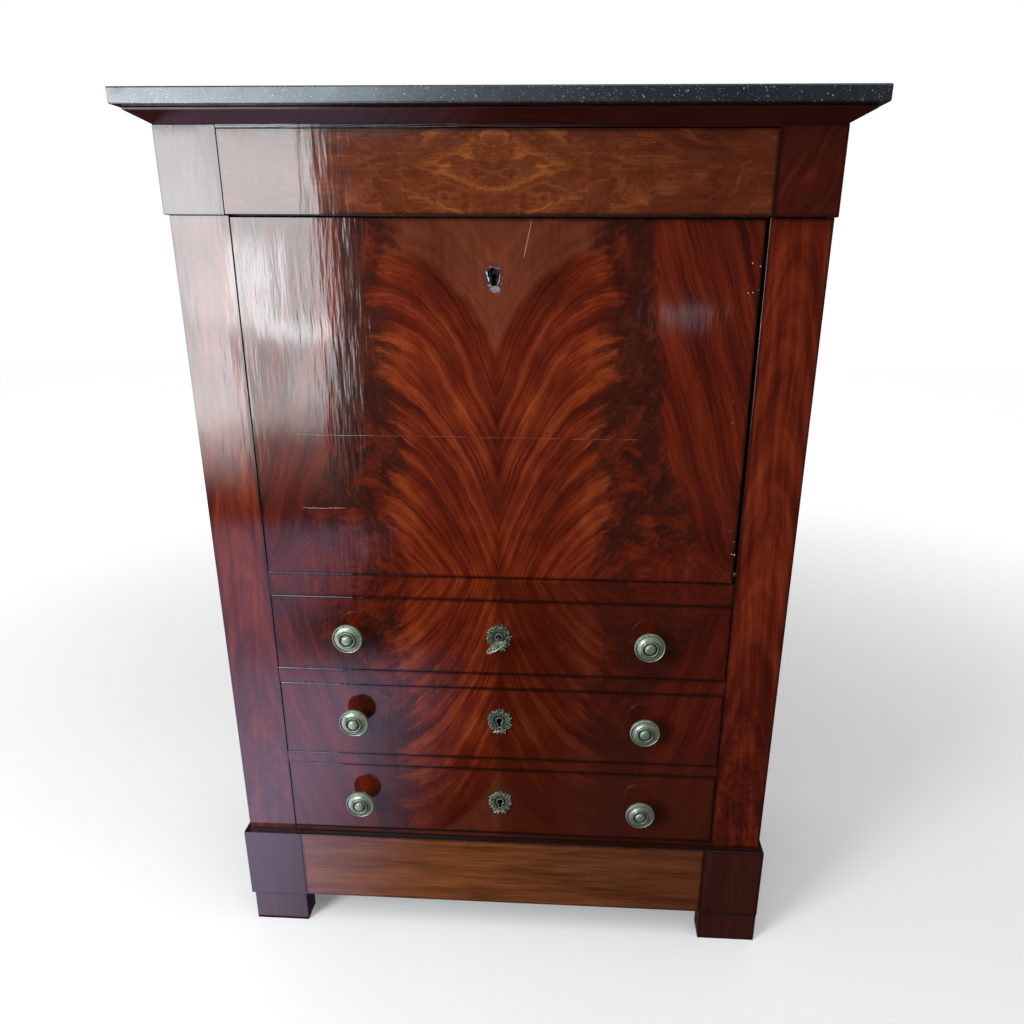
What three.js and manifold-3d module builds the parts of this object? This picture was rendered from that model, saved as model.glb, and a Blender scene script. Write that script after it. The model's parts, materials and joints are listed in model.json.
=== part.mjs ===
// A fall-front secretary desk (secrétaire à abattant), in millimetres, +Z up.
// The front faces -Y. The origin is on the floor, at the middle of the outer box.
import * as THREE from "three";
import { mergeVertices } from "three/addons/utils/BufferGeometryUtils.js";
import { ConvexGeometry } from "three/addons/geometries/ConvexGeometry.js";
import Module from "manifold-3d";

const wasm = await Module();
wasm.setup();

// ---------------------------------------------------------------- driving dimensions
const GAP = 0.3; // between two pieces that touch
const REVEAL = 0.8; // round a drawer front
const CASE_WIDTH = 940; // across the pilasters
const CASE_DEPTH = 400; // pilaster face to back
const TOTAL_HEIGHT = 1420;
const SLAB = { thickness: 21, side: 37, front: 54, edge: 2 }; // side and front are overhangs

const PILASTER = { width: 86.8, thickness: 30 };
const SIDE_THICKNESS = 18;
const BACK_THICKNESS = 8;

const FOOT = { height: 59.3, depth: 42, outerInsetLeft: 6, outerInsetRight: 1, innerInset: 1.5 };
const PLINTH = {
  top: 200, proud: 13.8, side: 6.9, blockWidth: 106.5, thickness: 30,
  skirtRecess: 0.6, skirtThickness: 35.2, skirtRise: 2,
};
const BOTTOM_RAIL_TOP = 209.4;

const DRAWERS = [
  { name: "lower", bottom: 211, top: 346.6, lockDrop: 66.2 },
  { name: "middle", bottom: 371, top: 510, lockDrop: 61.3 },
  { name: "upper", bottom: 540, top: 674.8, lockDrop: 65.3 },
];
const DRAWER = {
  halfWidth: 381.5, frontThickness: 20, boxHalfWidth: 378, boxBack: 370,
  boxDrop: 14, wall: 11, base: 8, knobX: 249.6, knobLift: 1.5,
};
const DRAWER_LOCK = {
  halfWidth: 32.5, height: 95, front: 8.4, back: 19.7, play: 0.3,
  hollowRadius: 16, hollowFront: 11, hollowBack: 17, pinHole: 3.4,
};
const DRAWER_BOLT = { halfWidth: 9, front: 12.4, back: 16.2, rise: 16.5, play: 0.4 };
const MORTISE = { halfWidth: 11, front: 10.5, back: 18, height: 11 }; // for a drawer's bolt, in the rail
const KEYHOLE = { radius: 4.6, slot: 2.2, drop: 11.5 };
const RAIL_DEPTH = 50;
const DUST_BOARD = 12;
const KEY = {
  rest: THREE.MathUtils.degToRad(-30), shaft: 2.6, collar: 5, collars: [-22, -17], collarHalf: 1.5,
  shaftFront: -30, shaftBack: 18.6, bowCentre: -38.5, bowThickness: 3, bowHalfWidth: 19, bowHalfLength: 13,
};

const FALL = {
  bottom: 716.3, top: 1263.2, left: -382, right: 377.7, thickness: 24,
  keyX: -2.6, keyZ: 1183.9, sweep: 17.3,
};
const FALL_LOCK = { halfWidth: 35.5, bottom: 1160.5, front: 10.4, play: 0.5 };
const FALL_BOLT = { halfWidth: 7, bottom: 1236, front: 12.6, back: 17.4, play: 0.4 };
const LEATHER = { bottom: 790, top: 1140, inset: 52, play: 0.5, recess: 1.4, thickness: 1 };
const PIVOT = { y: FALL.thickness / 2, z: FALL.bottom + FALL.thickness / 2, pin: 4, bore: 4.5 };
const DESK_BOARD_TOP = PIVOT.z + FALL.thickness / 2;

const FRIEZE = {
  bottom: 1265.2, top: 1380.8, proud: 13.1, side: 1.5, railBack: 7.4, railTop: 1283,
  drawerBottom: 1266.4, drawerTop: 1375, drawerHalfWidth: 382.4, drawerThickness: 20,
  boxHalfWidth: 374, boxBottom: 1283.6, boxTop: 1366, boxBack: 365, wall: 9, base: 7,
};
const CORNICE = {
  stripBottom: 1376.4, bevelTop: 1395.5, side: 29.3, front: 34.4, inner: 440, innerFront: 20,
};

const QUADRANT = {
  radius: 150, width: 14, thickness: 2.8, strapTop: 160, tail: -12, head: 92,
  lugAngle: -9.2, lug: 5, pinEnd: 387.9,
};
const QUADRANT_SLOT = { inner: 372.5, outer: 389.5, front: 148, back: 174 }; // in the desk board
const UNIT = {
  front: 130, halfWidth: 365.5, wall: 10, columnX: 125, divider: 8,
  shelf: 1075, smallTop: 850, back: 391.4,
};
const SMALL_DRAWER = { front: 14, wall: 7, base: 6, depth: 235, play: 0.8 };

// ---------------------------------------------------------------- levels worked out from them
const FRONT = -(CASE_DEPTH + SLAB.front) / 2 + SLAB.front; // the pilasters' front face
const BACK = FRONT + CASE_DEPTH;
const HALF = CASE_WIDTH / 2;
const PILASTER_INNER = HALF - PILASTER.width;
const BAY = PILASTER_INNER - GAP; // rails end here between the pilasters
const SIDE_INNER = HALF - SIDE_THICKNESS;
const BOARD = SIDE_INNER - GAP; // boards end here between the sides
const SLAB_BOTTOM = TOTAL_HEIGHT - SLAB.thickness;
const BEHIND_PILASTER = PILASTER.thickness + GAP;
const INSIDE_BACK = CASE_DEPTH - BACK_THICKNESS - GAP;

// ---------------------------------------------------------------- materials
function finish(color, roughness, metalness = 0) {
  return () => new THREE.MeshStandardMaterial({ color, roughness, metalness });
}
const mahogany = finish(0x6a2a16, 0.3);
const darkMahogany = finish(0x43190f, 0.32);
const goldenMahogany = finish(0x7c4a22, 0.4);
const oak = finish(0xb08a5a, 0.7);
const maple = finish(0xc79a5c, 0.5);
const marble = finish(0x2c2f33, 0.35);
const brass = finish(0xa79a6a, 0.4, 1);
const steel = finish(0x6f7072, 0.45, 1);
const leather = finish(0x3a1f14, 0.6);

// ---------------------------------------------------------------- solids
// Depths are measured back from the pilasters' front face, so each helper adds FRONT.
function box(x0, x1, y0, y1, z0, z1) {
  return new THREE.BoxGeometry(x1 - x0, y1 - y0, z1 - z0)
    .translate((x0 + x1) / 2, FRONT + (y0 + y1) / 2, (z0 + z1) / 2);
}

function shapeOf(points) {
  return new THREE.Shape(points.map(([a, b]) => new THREE.Vector2(a, b)));
}

// A shape drawn in X and Z, looking from the front, made thick from y0 to y1.
function plateY(shape, y0, y1, curveSegments = 12) {
  return new THREE.ExtrudeGeometry(shape, { depth: y1 - y0, bevelEnabled: false, curveSegments })
    .rotateX(Math.PI / 2).translate(0, FRONT + y1, 0);
}

// A shape drawn in Y and Z, made thick from x0 to x1.
function plateX(shape, x0, x1, curveSegments = 12) {
  const axes = new THREE.Matrix4().makeBasis(
    new THREE.Vector3(0, 1, 0), new THREE.Vector3(0, 0, 1), new THREE.Vector3(1, 0, 0));
  return new THREE.ExtrudeGeometry(shape, { depth: x1 - x0, bevelEnabled: false, curveSegments })
    .applyMatrix4(axes).translate(x0, FRONT, 0);
}

function rodX(radius, x0, x1, y, z, sides = 24) {
  return new THREE.CylinderGeometry(radius, radius, x1 - x0, sides)
    .rotateZ(Math.PI / 2).translate((x0 + x1) / 2, FRONT + y, z);
}

function rodY(radius, x, y0, y1, z, sides = 20) {
  return new THREE.CylinderGeometry(radius, radius, y1 - y0, sides)
    .translate(x, FRONT + (y0 + y1) / 2, z);
}

// A turned piece whose axis runs along Y: the profile's points are [radius, y], from its foot to its face.
function turnedY(profile, x, z, sides) {
  const points = profile.map(([r, y]) => new THREE.Vector2(r, y)).reverse();
  return new THREE.LatheGeometry(points, sides).translate(x, FRONT, z);
}

function toSolid(geometry) {
  const bare = geometry.clone();
  bare.deleteAttribute("normal");
  bare.deleteAttribute("uv");
  const merged = mergeVertices(bare, 1e-4);
  return new wasm.Manifold(new wasm.Mesh({
    numProp: 3,
    vertProperties: new Float32Array(merged.attributes.position.array),
    triVerts: new Uint32Array(merged.index.array),
  }));
}

function fromSolid(solid) {
  const mesh = solid.getMesh();
  const geometry = new THREE.BufferGeometry();
  geometry.setAttribute("position", new THREE.BufferAttribute(mesh.vertProperties, 3));
  geometry.setIndex(new THREE.BufferAttribute(mesh.triVerts, 1));
  return geometry;
}

function join(...parts) {
  return fromSolid(parts.map(toSolid).reduce((a, b) => a.add(b)));
}

function cut(body, ...tools) {
  return fromSolid(tools.map(toSolid).reduce((a, b) => a.subtract(b), toSolid(body)));
}

const desk = new THREE.Group();

function add(name, geometry, material) {
  const flat = geometry.index ? geometry.toNonIndexed() : geometry.clone();
  flat.deleteAttribute("uv");
  flat.computeVertexNormals();
  const mesh = new THREE.Mesh(flat, material());
  mesh.name = name;
  desk.add(mesh);
}

// A board that fits between the pilasters in front and between the sides behind them.
function caseBoard(y0, y1, z0, z1, frontDepth = BEHIND_PILASTER + 1, backZ0 = z0, backZ1 = z1) {
  return join(
    box(-BAY, BAY, y0, frontDepth, z0, z1),
    box(-BOARD, BOARD, BEHIND_PILASTER, y1, backZ0, backZ1),
  );
}

// The round hollow that the fall's bottom edge turns in.
function fallSweep() {
  return rodX(FALL.sweep, -BAY - 5, BAY + 5, PIVOT.y, PIVOT.z, 48);
}

// ---------------------------------------------------------------- top
function slabGeometry() {
  const e = SLAB.edge;
  const halfWidth = HALF + SLAB.side - e;
  const halfDepth = (CASE_DEPTH + SLAB.front) / 2 - e;
  const outline = shapeOf([
    [-halfWidth, -halfDepth], [halfWidth, -halfDepth], [halfWidth, halfDepth], [-halfWidth, halfDepth],
  ]);
  return new THREE.ExtrudeGeometry(outline, {
    depth: SLAB.thickness - 2 * e, bevelThickness: e, bevelSize: e, bevelSegments: 3,
  }).translate(0, 0, SLAB_BOTTOM + e);
}

// A bevel that flares from the frieze out to a narrow fillet under the slab, on three sides.
function corniceGeometry() {
  const levels = [
    [FRIEZE.top, HALF + FRIEZE.side, FRIEZE.proud],
    [CORNICE.bevelTop, HALF + CORNICE.side, CORNICE.front],
    [SLAB_BOTTOM - GAP, HALF + CORNICE.side, CORNICE.front],
  ];
  const corners = levels.flatMap(([z, x, front]) => [
    new THREE.Vector3(-x, FRONT - front, z), new THREE.Vector3(x, FRONT - front, z),
    new THREE.Vector3(-x, BACK, z), new THREE.Vector3(x, BACK, z),
  ]);
  return cut(new ConvexGeometry(corners),
    box(-CORNICE.inner, CORNICE.inner, CORNICE.innerFront, CASE_DEPTH + 1, FRIEZE.top - 1, TOTAL_HEIGHT));
}

function addTop() {
  add("marble_top", slabGeometry(), marble);
  add("cornice_moulding", corniceGeometry(), darkMahogany);
  const upper = CORNICE.inner - GAP;
  add("case_top_board", join(
    box(-BAY, BAY, -FRIEZE.proud, BEHIND_PILASTER + 1, CORNICE.stripBottom, FRIEZE.top - GAP),
    box(-BOARD, BOARD, BEHIND_PILASTER, INSIDE_BACK, CORNICE.stripBottom, FRIEZE.top - GAP),
    box(-upper, upper, BEHIND_PILASTER, INSIDE_BACK, FRIEZE.top - 2, SLAB_BOTTOM - GAP),
    box(-upper, upper, CORNICE.innerFront + GAP, BEHIND_PILASTER + 1, FRIEZE.top, SLAB_BOTTOM - GAP),
  ), darkMahogany);
}

// ---------------------------------------------------------------- carcass
function addCarcass() {
  const bottom = PLINTH.top + GAP;
  const top = FRIEZE.top - GAP;
  for (const [side, s] of [["left", -1], ["right", 1]]) {
    const across = (a, b) => (s < 0 ? [-b, -a] : [a, b]);
    const pilaster = box(...across(PILASTER_INNER, HALF), 0, PILASTER.thickness, bottom, FRIEZE.bottom - GAP);
    const bore = rodX(PIVOT.bore, ...across(PILASTER_INNER - 1, PILASTER_INNER + 6), PIVOT.y, PIVOT.z);
    add("pilaster_" + side, cut(pilaster, bore), mahogany);
    add("frieze_block_" + side, box(...across(PILASTER_INNER, HALF + FRIEZE.side),
      -FRIEZE.proud, PILASTER.thickness - GAP, FRIEZE.bottom, top), mahogany);
    add("case_side_" + side, box(...across(SIDE_INNER, HALF),
      BEHIND_PILASTER, INSIDE_BACK, bottom, top), mahogany);
  }
  add("back_panel", box(-HALF, HALF, CASE_DEPTH - BACK_THICKNESS, CASE_DEPTH, bottom, top), oak);

  const boltSlot = box(FALL.keyX - 9, FALL.keyX + 9, 11, 19, FRIEZE.bottom - 1, FRIEZE.bottom + 12);
  add("frieze_rail", cut(
    caseBoard(FRIEZE.railBack, INSIDE_BACK, FRIEZE.bottom, FRIEZE.railTop), boltSlot), oak);

  const slot = (x0, x1) => box(x0, x1, QUADRANT_SLOT.front, QUADRANT_SLOT.back,
    FALL.bottom - 5, DESK_BOARD_TOP + 5);
  const boardFront = FALL.thickness + 0.6;
  add("desk_board", cut(caseBoard(boardFront, INSIDE_BACK, FALL.bottom + GAP, DESK_BOARD_TOP),
    fallSweep(), slot(-QUADRANT_SLOT.outer, -QUADRANT_SLOT.inner),
    slot(QUADRANT_SLOT.inner, QUADRANT_SLOT.outer)), mahogany);

  const rail = box(-BAY, BAY, 0, RAIL_DEPTH, DRAWERS[2].top + REVEAL, FALL.bottom);
  add("rail_under_fall", cut(rail, fallSweep(), drawerBoltSlot(DRAWERS[2])), mahogany);
  for (const i of [1, 0]) {
    const z0 = DRAWERS[i].top + REVEAL;
    const z1 = DRAWERS[i + 1].bottom - REVEAL;
    const blade = caseBoard(0, INSIDE_BACK, z0, z1, RAIL_DEPTH, z1 - DUST_BOARD, z1);
    add("drawer_rail_" + (i ? "upper" : "lower"), cut(blade, drawerBoltSlot(DRAWERS[i])), mahogany);
  }
  add("bottom_board", caseBoard(0, INSIDE_BACK, bottom, BOTTOM_RAIL_TOP), mahogany);
}

// ---------------------------------------------------------------- base
function addBase() {
  const outer = HALF + PLINTH.side;
  const blockInner = outer - PLINTH.blockWidth;
  const z0 = FOOT.height + GAP;
  for (const [side, s] of [["left", -1], ["right", 1]]) {
    const across = (a, b) => (s < 0 ? [-b, -a] : [a, b]);
    const inset = s < 0 ? FOOT.outerInsetLeft : FOOT.outerInsetRight;
    add("plinth_block_" + side, box(...across(blockInner, outer),
      -PLINTH.proud, PLINTH.thickness, z0, PLINTH.top), darkMahogany);
    add("plinth_side_" + side, box(...across(outer - SIDE_THICKNESS, outer),
      PLINTH.thickness + GAP, CASE_DEPTH, z0, PLINTH.top), darkMahogany);
    add("foot_front_" + side, box(...across(blockInner + FOOT.innerInset, outer - inset),
      -PLINTH.proud, -PLINTH.proud + FOOT.depth, 0, FOOT.height), darkMahogany);
    const rearFoot = box(...across(blockInner + FOOT.innerInset, outer - inset),
      CASE_DEPTH - FOOT.depth, CASE_DEPTH, 0, FOOT.height);
    const rearPost = box(...across(blockInner + FOOT.innerInset, outer - SIDE_THICKNESS - GAP),
      CASE_DEPTH - FOOT.depth, CASE_DEPTH, FOOT.height - 1, PLINTH.top);
    add("foot_rear_" + side, join(rearFoot, rearPost), darkMahogany);
  }
  add("plinth_skirt", box(-blockInner + GAP, blockInner - GAP,
    PLINTH.skirtRecess - PLINTH.proud, PLINTH.skirtThickness - PLINTH.proud,
    z0 + PLINTH.skirtRise, PLINTH.top), goldenMahogany);
}

// ---------------------------------------------------------------- locks, keys and handles
// A keyhole: a round hole with a slot below it, cut along Y.
function keyhole(x, z, y0, y1) {
  const { radius, slot, drop } = KEYHOLE;
  return join(rodY(radius, x, y0, y1, z, 16), box(x - slot, x + slot, y0, y1, z - drop, z));
}

function lockLevel(drawer) {
  return drawer.top - drawer.lockDrop;
}

// The mortise that a drawer lock's bolt enters, in the rail above the drawer.
function drawerBoltSlot(drawer) {
  const { halfWidth, front, back, height } = MORTISE;
  return box(-halfWidth, halfWidth, front, back, drawer.top, drawer.top + height);
}

function drawerLock(drawer) {
  const z = lockLevel(drawer);
  const { halfWidth, height, front, back, hollowRadius, hollowFront, hollowBack, pinHole } = DRAWER_LOCK;
  const bolt = DRAWER_BOLT;
  return cut(
    box(-halfWidth, halfWidth, front, back, drawer.top - height, drawer.top - 0.2),
    rodY(hollowRadius, 0, hollowFront, hollowBack, z, 24),
    rodY(pinHole, 0, hollowBack - 1, back + 1, z, 12),
    keyhole(0, z, front - 1, hollowFront + 1),
    box(-bolt.halfWidth - bolt.play, bolt.halfWidth + bolt.play, bolt.front - bolt.play,
      bolt.back + bolt.play, z + 10, drawer.top + 1),
  );
}

function drawerBolt(drawer) {
  const { halfWidth, front, back, rise } = DRAWER_BOLT;
  return box(-halfWidth, halfWidth, front, back, lockLevel(drawer) + rise, drawer.top - 0.5);
}

// A ribbed brass knob on a short neck: a flange, a rounded ring and a domed centre.
function knobGeometry(x, z) {
  return turnedY([
    [0, -GAP], [9, -GAP], [9, -2.4], [6.6, -5], [6.4, -17], [12, -22], [24, -24.5], [25.4, -27.5],
    [24.6, -31], [21, -31.6], [19.5, -29.4], [17.5, -31], [14.5, -35], [11, -35.4], [9.4, -32.6],
    [6, -36.4], [0, -37.7],
  ], x, z, 28);
}

function escutcheonGeometry(z) {
  const leaves = 12;
  const outline = new THREE.Shape();
  for (let i = 0; i <= leaves * 4; i++) {
    const angle = (i / (leaves * 4)) * 2 * Math.PI;
    const radius = 20.5 + 1.7 * Math.cos(leaves * angle);
    const place = [radius * Math.cos(angle), z + 1.15 * radius * Math.sin(angle)];
    if (i) outline.lineTo(...place);
    else outline.moveTo(...place);
  }
  return cut(plateY(outline, -2.6, -GAP), keyhole(0, z, -5, 2));
}

// The key: a round shaft with collars, a flat pierced bow in front and a bit inside the lock.
function keyGeometry(z) {
  const bow = new THREE.Shape().absellipse(0, 0, KEY.bowHalfWidth, KEY.bowHalfLength, 0, 2 * Math.PI);
  for (const x of [-11, 0, 11]) {
    bow.holes.push(new THREE.Path().absellipse(x, 0, 4, 6.5, 0, 2 * Math.PI, true));
  }
  const flat = { depth: KEY.bowThickness, bevelEnabled: false, curveSegments: 10 };
  const blade = new THREE.ExtrudeGeometry(bow, flat)
    .translate(0, FRONT + KEY.bowCentre, z - KEY.bowThickness / 2);
  const shaft = rodY(KEY.shaft, 0, KEY.shaftFront, KEY.shaftBack, z, 16);
  const collars = KEY.collars.map((y) => rodY(KEY.collar, 0, y - KEY.collarHalf, y + KEY.collarHalf, z, 16));
  const bit = box(2, 12, 12, 16, z - 1.2, z + 1.2);
  return join(blade, shaft, ...collars, bit);
}

// The key stands part-turned in the upper drawer's lock.
function addKey(z) {
  const turn = new THREE.Group();
  turn.position.z = z;
  turn.rotation.y = KEY.rest;
  const key = new THREE.Mesh(keyGeometry(0).toNonIndexed(), steel());
  key.name = "drawer_upper_key";
  turn.add(key);
  desk.add(turn);
}

// ---------------------------------------------------------------- drawers
// A drawer box without its front: two sides, a back and a base.
function openBox(halfWidth, y0, y1, z0, z1, wall, base) {
  return cut(
    box(-halfWidth, halfWidth, y0, y1, z0, z1),
    box(-halfWidth + wall, halfWidth - wall, y0 - 1, y1 - wall, z0 + base, z1 + 1),
  );
}

function addDrawer(drawer) {
  const { name, bottom, top } = drawer;
  const z = lockLevel(drawer);
  const { halfWidth, height, play } = DRAWER_LOCK;
  const lockRoom = box(-halfWidth - play, halfWidth + play, DRAWER_LOCK.front - play,
    DRAWER.frontThickness + 1, top - height - play, top + 1);
  const front = box(-DRAWER.halfWidth, DRAWER.halfWidth, 0, DRAWER.frontThickness, bottom, top);
  add(`drawer_${name}_front`, cut(front, lockRoom, keyhole(0, z, -1, DRAWER_LOCK.front + 1)), mahogany);
  add(`drawer_${name}_box`, openBox(DRAWER.boxHalfWidth, DRAWER.frontThickness + GAP, DRAWER.boxBack,
    bottom, top - DRAWER.boxDrop, DRAWER.wall, DRAWER.base), oak);
  for (const [side, s] of [["left", -1], ["right", 1]]) {
    add(`drawer_${name}_knob_${side}`, knobGeometry(s * DRAWER.knobX, z + DRAWER.knobLift), brass);
  }
  add(`drawer_${name}_escutcheon`, escutcheonGeometry(z), brass);
  add(`drawer_${name}_lock`, drawerLock(drawer), steel);
  add(`drawer_${name}_bolt`, drawerBolt(drawer), steel);
}

function addFriezeDrawer() {
  const back = FRIEZE.drawerThickness - FRIEZE.proud;
  add("frieze_drawer_front", box(-FRIEZE.drawerHalfWidth, FRIEZE.drawerHalfWidth,
    -FRIEZE.proud, back, FRIEZE.drawerBottom, FRIEZE.drawerTop), mahogany);
  add("frieze_drawer_box", openBox(FRIEZE.boxHalfWidth, back + GAP, FRIEZE.boxBack,
    FRIEZE.boxBottom, FRIEZE.boxTop, FRIEZE.wall, FRIEZE.base), oak);
}

// ---------------------------------------------------------------- fall front
// The worn hole round the fall's keyhole, where its escutcheon is lost.
function wornKeyhole() {
  const { keyX, keyZ } = FALL;
  const edge = [
    [-5, 11], [-1, 12.5], [3, 11.5], [6.5, 9], [8.4, 4], [7.6, -1], [6.8, -5], [5, -10],
    [1, -12.8], [-3, -12.2], [-6.2, -8], [-7, -2.5], [-9.3, 2], [-8.4, 7.5],
  ];
  return plateY(shapeOf(edge.map(([x, z]) => [keyX + x, keyZ + z]).reverse()), -1, 11);
}

function quadrant(s, edgeX) {
  const { radius, width, strapTop, tail, lugAngle, lug } = QUADRANT;
  const outer = edgeX - s * GAP;
  const inner = outer - s * QUADRANT.thickness;
  const [x0, x1] = [Math.min(outer, inner), Math.max(outer, inner)];
  const tailAngle = THREE.MathUtils.degToRad(tail);
  const topAngle = THREE.MathUtils.degToRad(QUADRANT.head);
  const arc = new THREE.Shape();
  arc.absarc(PIVOT.y, PIVOT.z, radius + width / 2, tailAngle, topAngle, false);
  arc.absarc(PIVOT.y, PIVOT.z, radius - width / 2, topAngle, tailAngle, true);
  const strap = box(x0, x1, PIVOT.y - 7, PIVOT.y + 12, PIVOT.z - 11, PIVOT.z + strapTop);
  const angle = THREE.MathUtils.degToRad(lugAngle);
  const [lugY, lugZ] = [PIVOT.y + radius * Math.cos(angle), PIVOT.z + radius * Math.sin(angle)];
  const outward = (from, to) => (s < 0 ? [-to, -from] : [from, to]);
  const pinFrom = Math.abs(inner);
  return join(
    plateX(arc, x0, x1, 24),
    strap,
    rodX(PIVOT.pin, ...outward(pinFrom, QUADRANT.pinEnd), PIVOT.y, PIVOT.z),
    rodX(lug, ...outward(pinFrom, QUADRANT.pinEnd), lugY, lugZ, 16),
  );
}

function addFall() {
  const { left, right, bottom, top, thickness, keyX, keyZ } = FALL;
  const strapRoom = (x0, x1) => box(x0, x1, PIVOT.y - 7.5, thickness + 1,
    bottom - 1, PIVOT.z + QUADRANT.strapTop + 0.5);
  const deep = QUADRANT.thickness + 2 * GAP;
  const lock = FALL_LOCK;
  const bolt = FALL_BOLT;
  const skin = LEATHER;
  const skinBack = thickness - skin.recess + GAP;
  add("fall_panel", cut(
    box(left, right, 0, thickness, bottom, top),
    box(keyX - lock.halfWidth - lock.play, keyX + lock.halfWidth + lock.play,
      lock.front - 0.4, thickness + 1, lock.bottom - lock.play, top + 1),
    box(left + skin.inset, right - skin.inset, thickness - skin.recess, thickness + 1,
      skin.bottom, skin.top),
    strapRoom(left - 1, left + deep),
    strapRoom(right - deep, right + 1),
    wornKeyhole(),
  ), mahogany);
  add("writing_leather", box(left + skin.inset + skin.play, right - skin.inset - skin.play,
    skinBack, skinBack + skin.thickness, skin.bottom + skin.play, skin.top - skin.play), leather);
  add("fall_lock", cut(
    box(keyX - lock.halfWidth, keyX + lock.halfWidth, lock.front, thickness - 0.2, lock.bottom, top - GAP),
    box(keyX - bolt.halfWidth - 0.6, keyX + bolt.halfWidth + 0.6, bolt.front - bolt.play,
      bolt.back + bolt.play, bolt.bottom - 2, top + 1),
    keyhole(keyX, keyZ, 8, 19),
  ), steel);
  add("fall_lock_bolt", box(keyX - bolt.halfWidth, keyX + bolt.halfWidth, bolt.front, bolt.back,
    bolt.bottom, top - 0.6), steel);
  add("fall_quadrant_left", quadrant(-1, left), brass);
  add("fall_quadrant_right", quadrant(1, right), brass);
}

// ---------------------------------------------------------------- pigeonholes
function addInterior() {
  const { front, halfWidth, wall, columnX, divider, shelf, smallTop, back } = UNIT;
  const z0 = DESK_BOARD_TOP + GAP;
  const z1 = FRIEZE.bottom - 2 * GAP;
  const inner = halfWidth - wall;
  const cellBack = back - wall;
  const columns = [
    ["left", -inner, -columnX - divider / 2],
    ["middle", -columnX + divider / 2, columnX - divider / 2],
    ["right", columnX + divider / 2, inner],
  ];
  const cells = [];
  for (const [name, x0, x1] of columns) {
    const deepCell = (low, high) => cells.push(box(x0, x1, front - 1, cellBack, low, high));
    deepCell(shelf + divider, z1 - wall);
    if (name === "middle") {
      deepCell(z0 + wall, shelf);
      continue;
    }
    deepCell(smallTop + divider, shelf);
    deepCell(z0 + wall, smallTop);
    addSmallDrawer(name, x0, x1, z0 + wall, smallTop);
  }
  add("pigeonhole_unit", cut(box(-halfWidth, halfWidth, front, back, z0, z1), ...cells), maple);
}

function addSmallDrawer(name, left, right, bottom, top) {
  const { play, wall, base, depth } = SMALL_DRAWER;
  const [x0, x1, z0, z1] = [left + play, right - play, bottom + GAP, top - play];
  const y0 = UNIT.front + 1;
  const hollow = box(x0 + wall, x1 - wall, y0 + SMALL_DRAWER.front, y0 + depth - wall, z0 + base, z1 + 1);
  const body = cut(box(x0, x1, y0, y0 + depth, z0, z1), hollow);
  add(`small_drawer_${name}`, body, maple);
  const profile = [[0, -GAP], [4, -GAP], [3.4, -6], [7, -9], [8, -11.5], [6, -14.5], [0, -15.5]];
  const knob = turnedY(profile, (x0 + x1) / 2, (z0 + z1) / 2, 16).translate(0, y0, 0);
  add(`small_drawer_${name}_knob`, knob, brass);
}

addTop();
addCarcass();
addBase();
addFriezeDrawer();
for (const drawer of DRAWERS) addDrawer(drawer);
addKey(lockLevel(DRAWERS[2]));
addFall();
addInterior();

export default desk;
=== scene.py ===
"""A fall-front secretary desk in flame mahogany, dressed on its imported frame."""
import json
import math
import random

import bmesh
import bpy
from mathutils import Matrix, Vector


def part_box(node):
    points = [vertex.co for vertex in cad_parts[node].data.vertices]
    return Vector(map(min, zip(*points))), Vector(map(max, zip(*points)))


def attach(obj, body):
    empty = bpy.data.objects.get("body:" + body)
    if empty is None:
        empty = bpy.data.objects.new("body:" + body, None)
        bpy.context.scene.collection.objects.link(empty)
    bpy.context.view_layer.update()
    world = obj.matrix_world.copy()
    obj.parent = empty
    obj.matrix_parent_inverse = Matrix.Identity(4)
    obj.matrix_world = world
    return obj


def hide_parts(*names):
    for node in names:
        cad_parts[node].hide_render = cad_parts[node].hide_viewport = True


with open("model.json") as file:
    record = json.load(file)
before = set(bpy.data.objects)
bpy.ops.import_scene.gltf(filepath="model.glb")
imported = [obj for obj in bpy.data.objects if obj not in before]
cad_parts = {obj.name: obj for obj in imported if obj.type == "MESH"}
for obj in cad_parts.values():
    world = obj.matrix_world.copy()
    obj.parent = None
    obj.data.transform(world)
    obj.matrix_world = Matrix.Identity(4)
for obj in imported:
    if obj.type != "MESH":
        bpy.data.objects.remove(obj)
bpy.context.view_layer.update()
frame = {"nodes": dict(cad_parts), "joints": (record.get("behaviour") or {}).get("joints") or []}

NODES = frame["nodes"]

# Places on the desk, in metres.
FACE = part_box("pilaster_left")[0].y  # front face of the pilasters
FOLD = 0.712  # height where the fall's veneer and its mirror image below meet
FRIEZE_FOLD = 1.321  # the same for the frieze drawer
KEYHOLE = (-0.0026, 1.1839)  # of the fall: x, z
CRACKS = (  # across the fall: height, left end, right end, brightness from 0 to 1
    (0.9488, -0.317, 0.217, 0.8), (0.8300, -0.316, -0.243, 0.9),
)
PILASTER_MIDDLE = 0.4266  # how far it is from the desk's middle
DRAWER_NAMES = ("lower", "middle", "upper")


def middle(node):
    """The middle of a CAD node's box."""
    low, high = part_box(node)
    return (low + high) / 2


# -------- nodes

def arithmetic(operation, turned=False):
    """A method that adds a Math node; turned swaps its two inputs."""
    def method(self, other):
        pair = (other, self) if turned else (self, other)
        return self.shader.math(operation, *pair)
    return method


class Val:
    """A value on its way through a material; arithmetic on it adds Math nodes."""

    def __init__(self, shader, socket):
        self.shader = shader
        self.socket = socket

    __add__ = arithmetic("ADD")
    __radd__ = arithmetic("ADD", turned=True)
    __sub__ = arithmetic("SUBTRACT")
    __rsub__ = arithmetic("SUBTRACT", turned=True)
    __mul__ = arithmetic("MULTIPLY")
    __truediv__ = arithmetic("DIVIDE")

    def __neg__(self):
        return self * -1.0

    def __abs__(self):
        return self.shader.math("ABSOLUTE", self)


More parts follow.
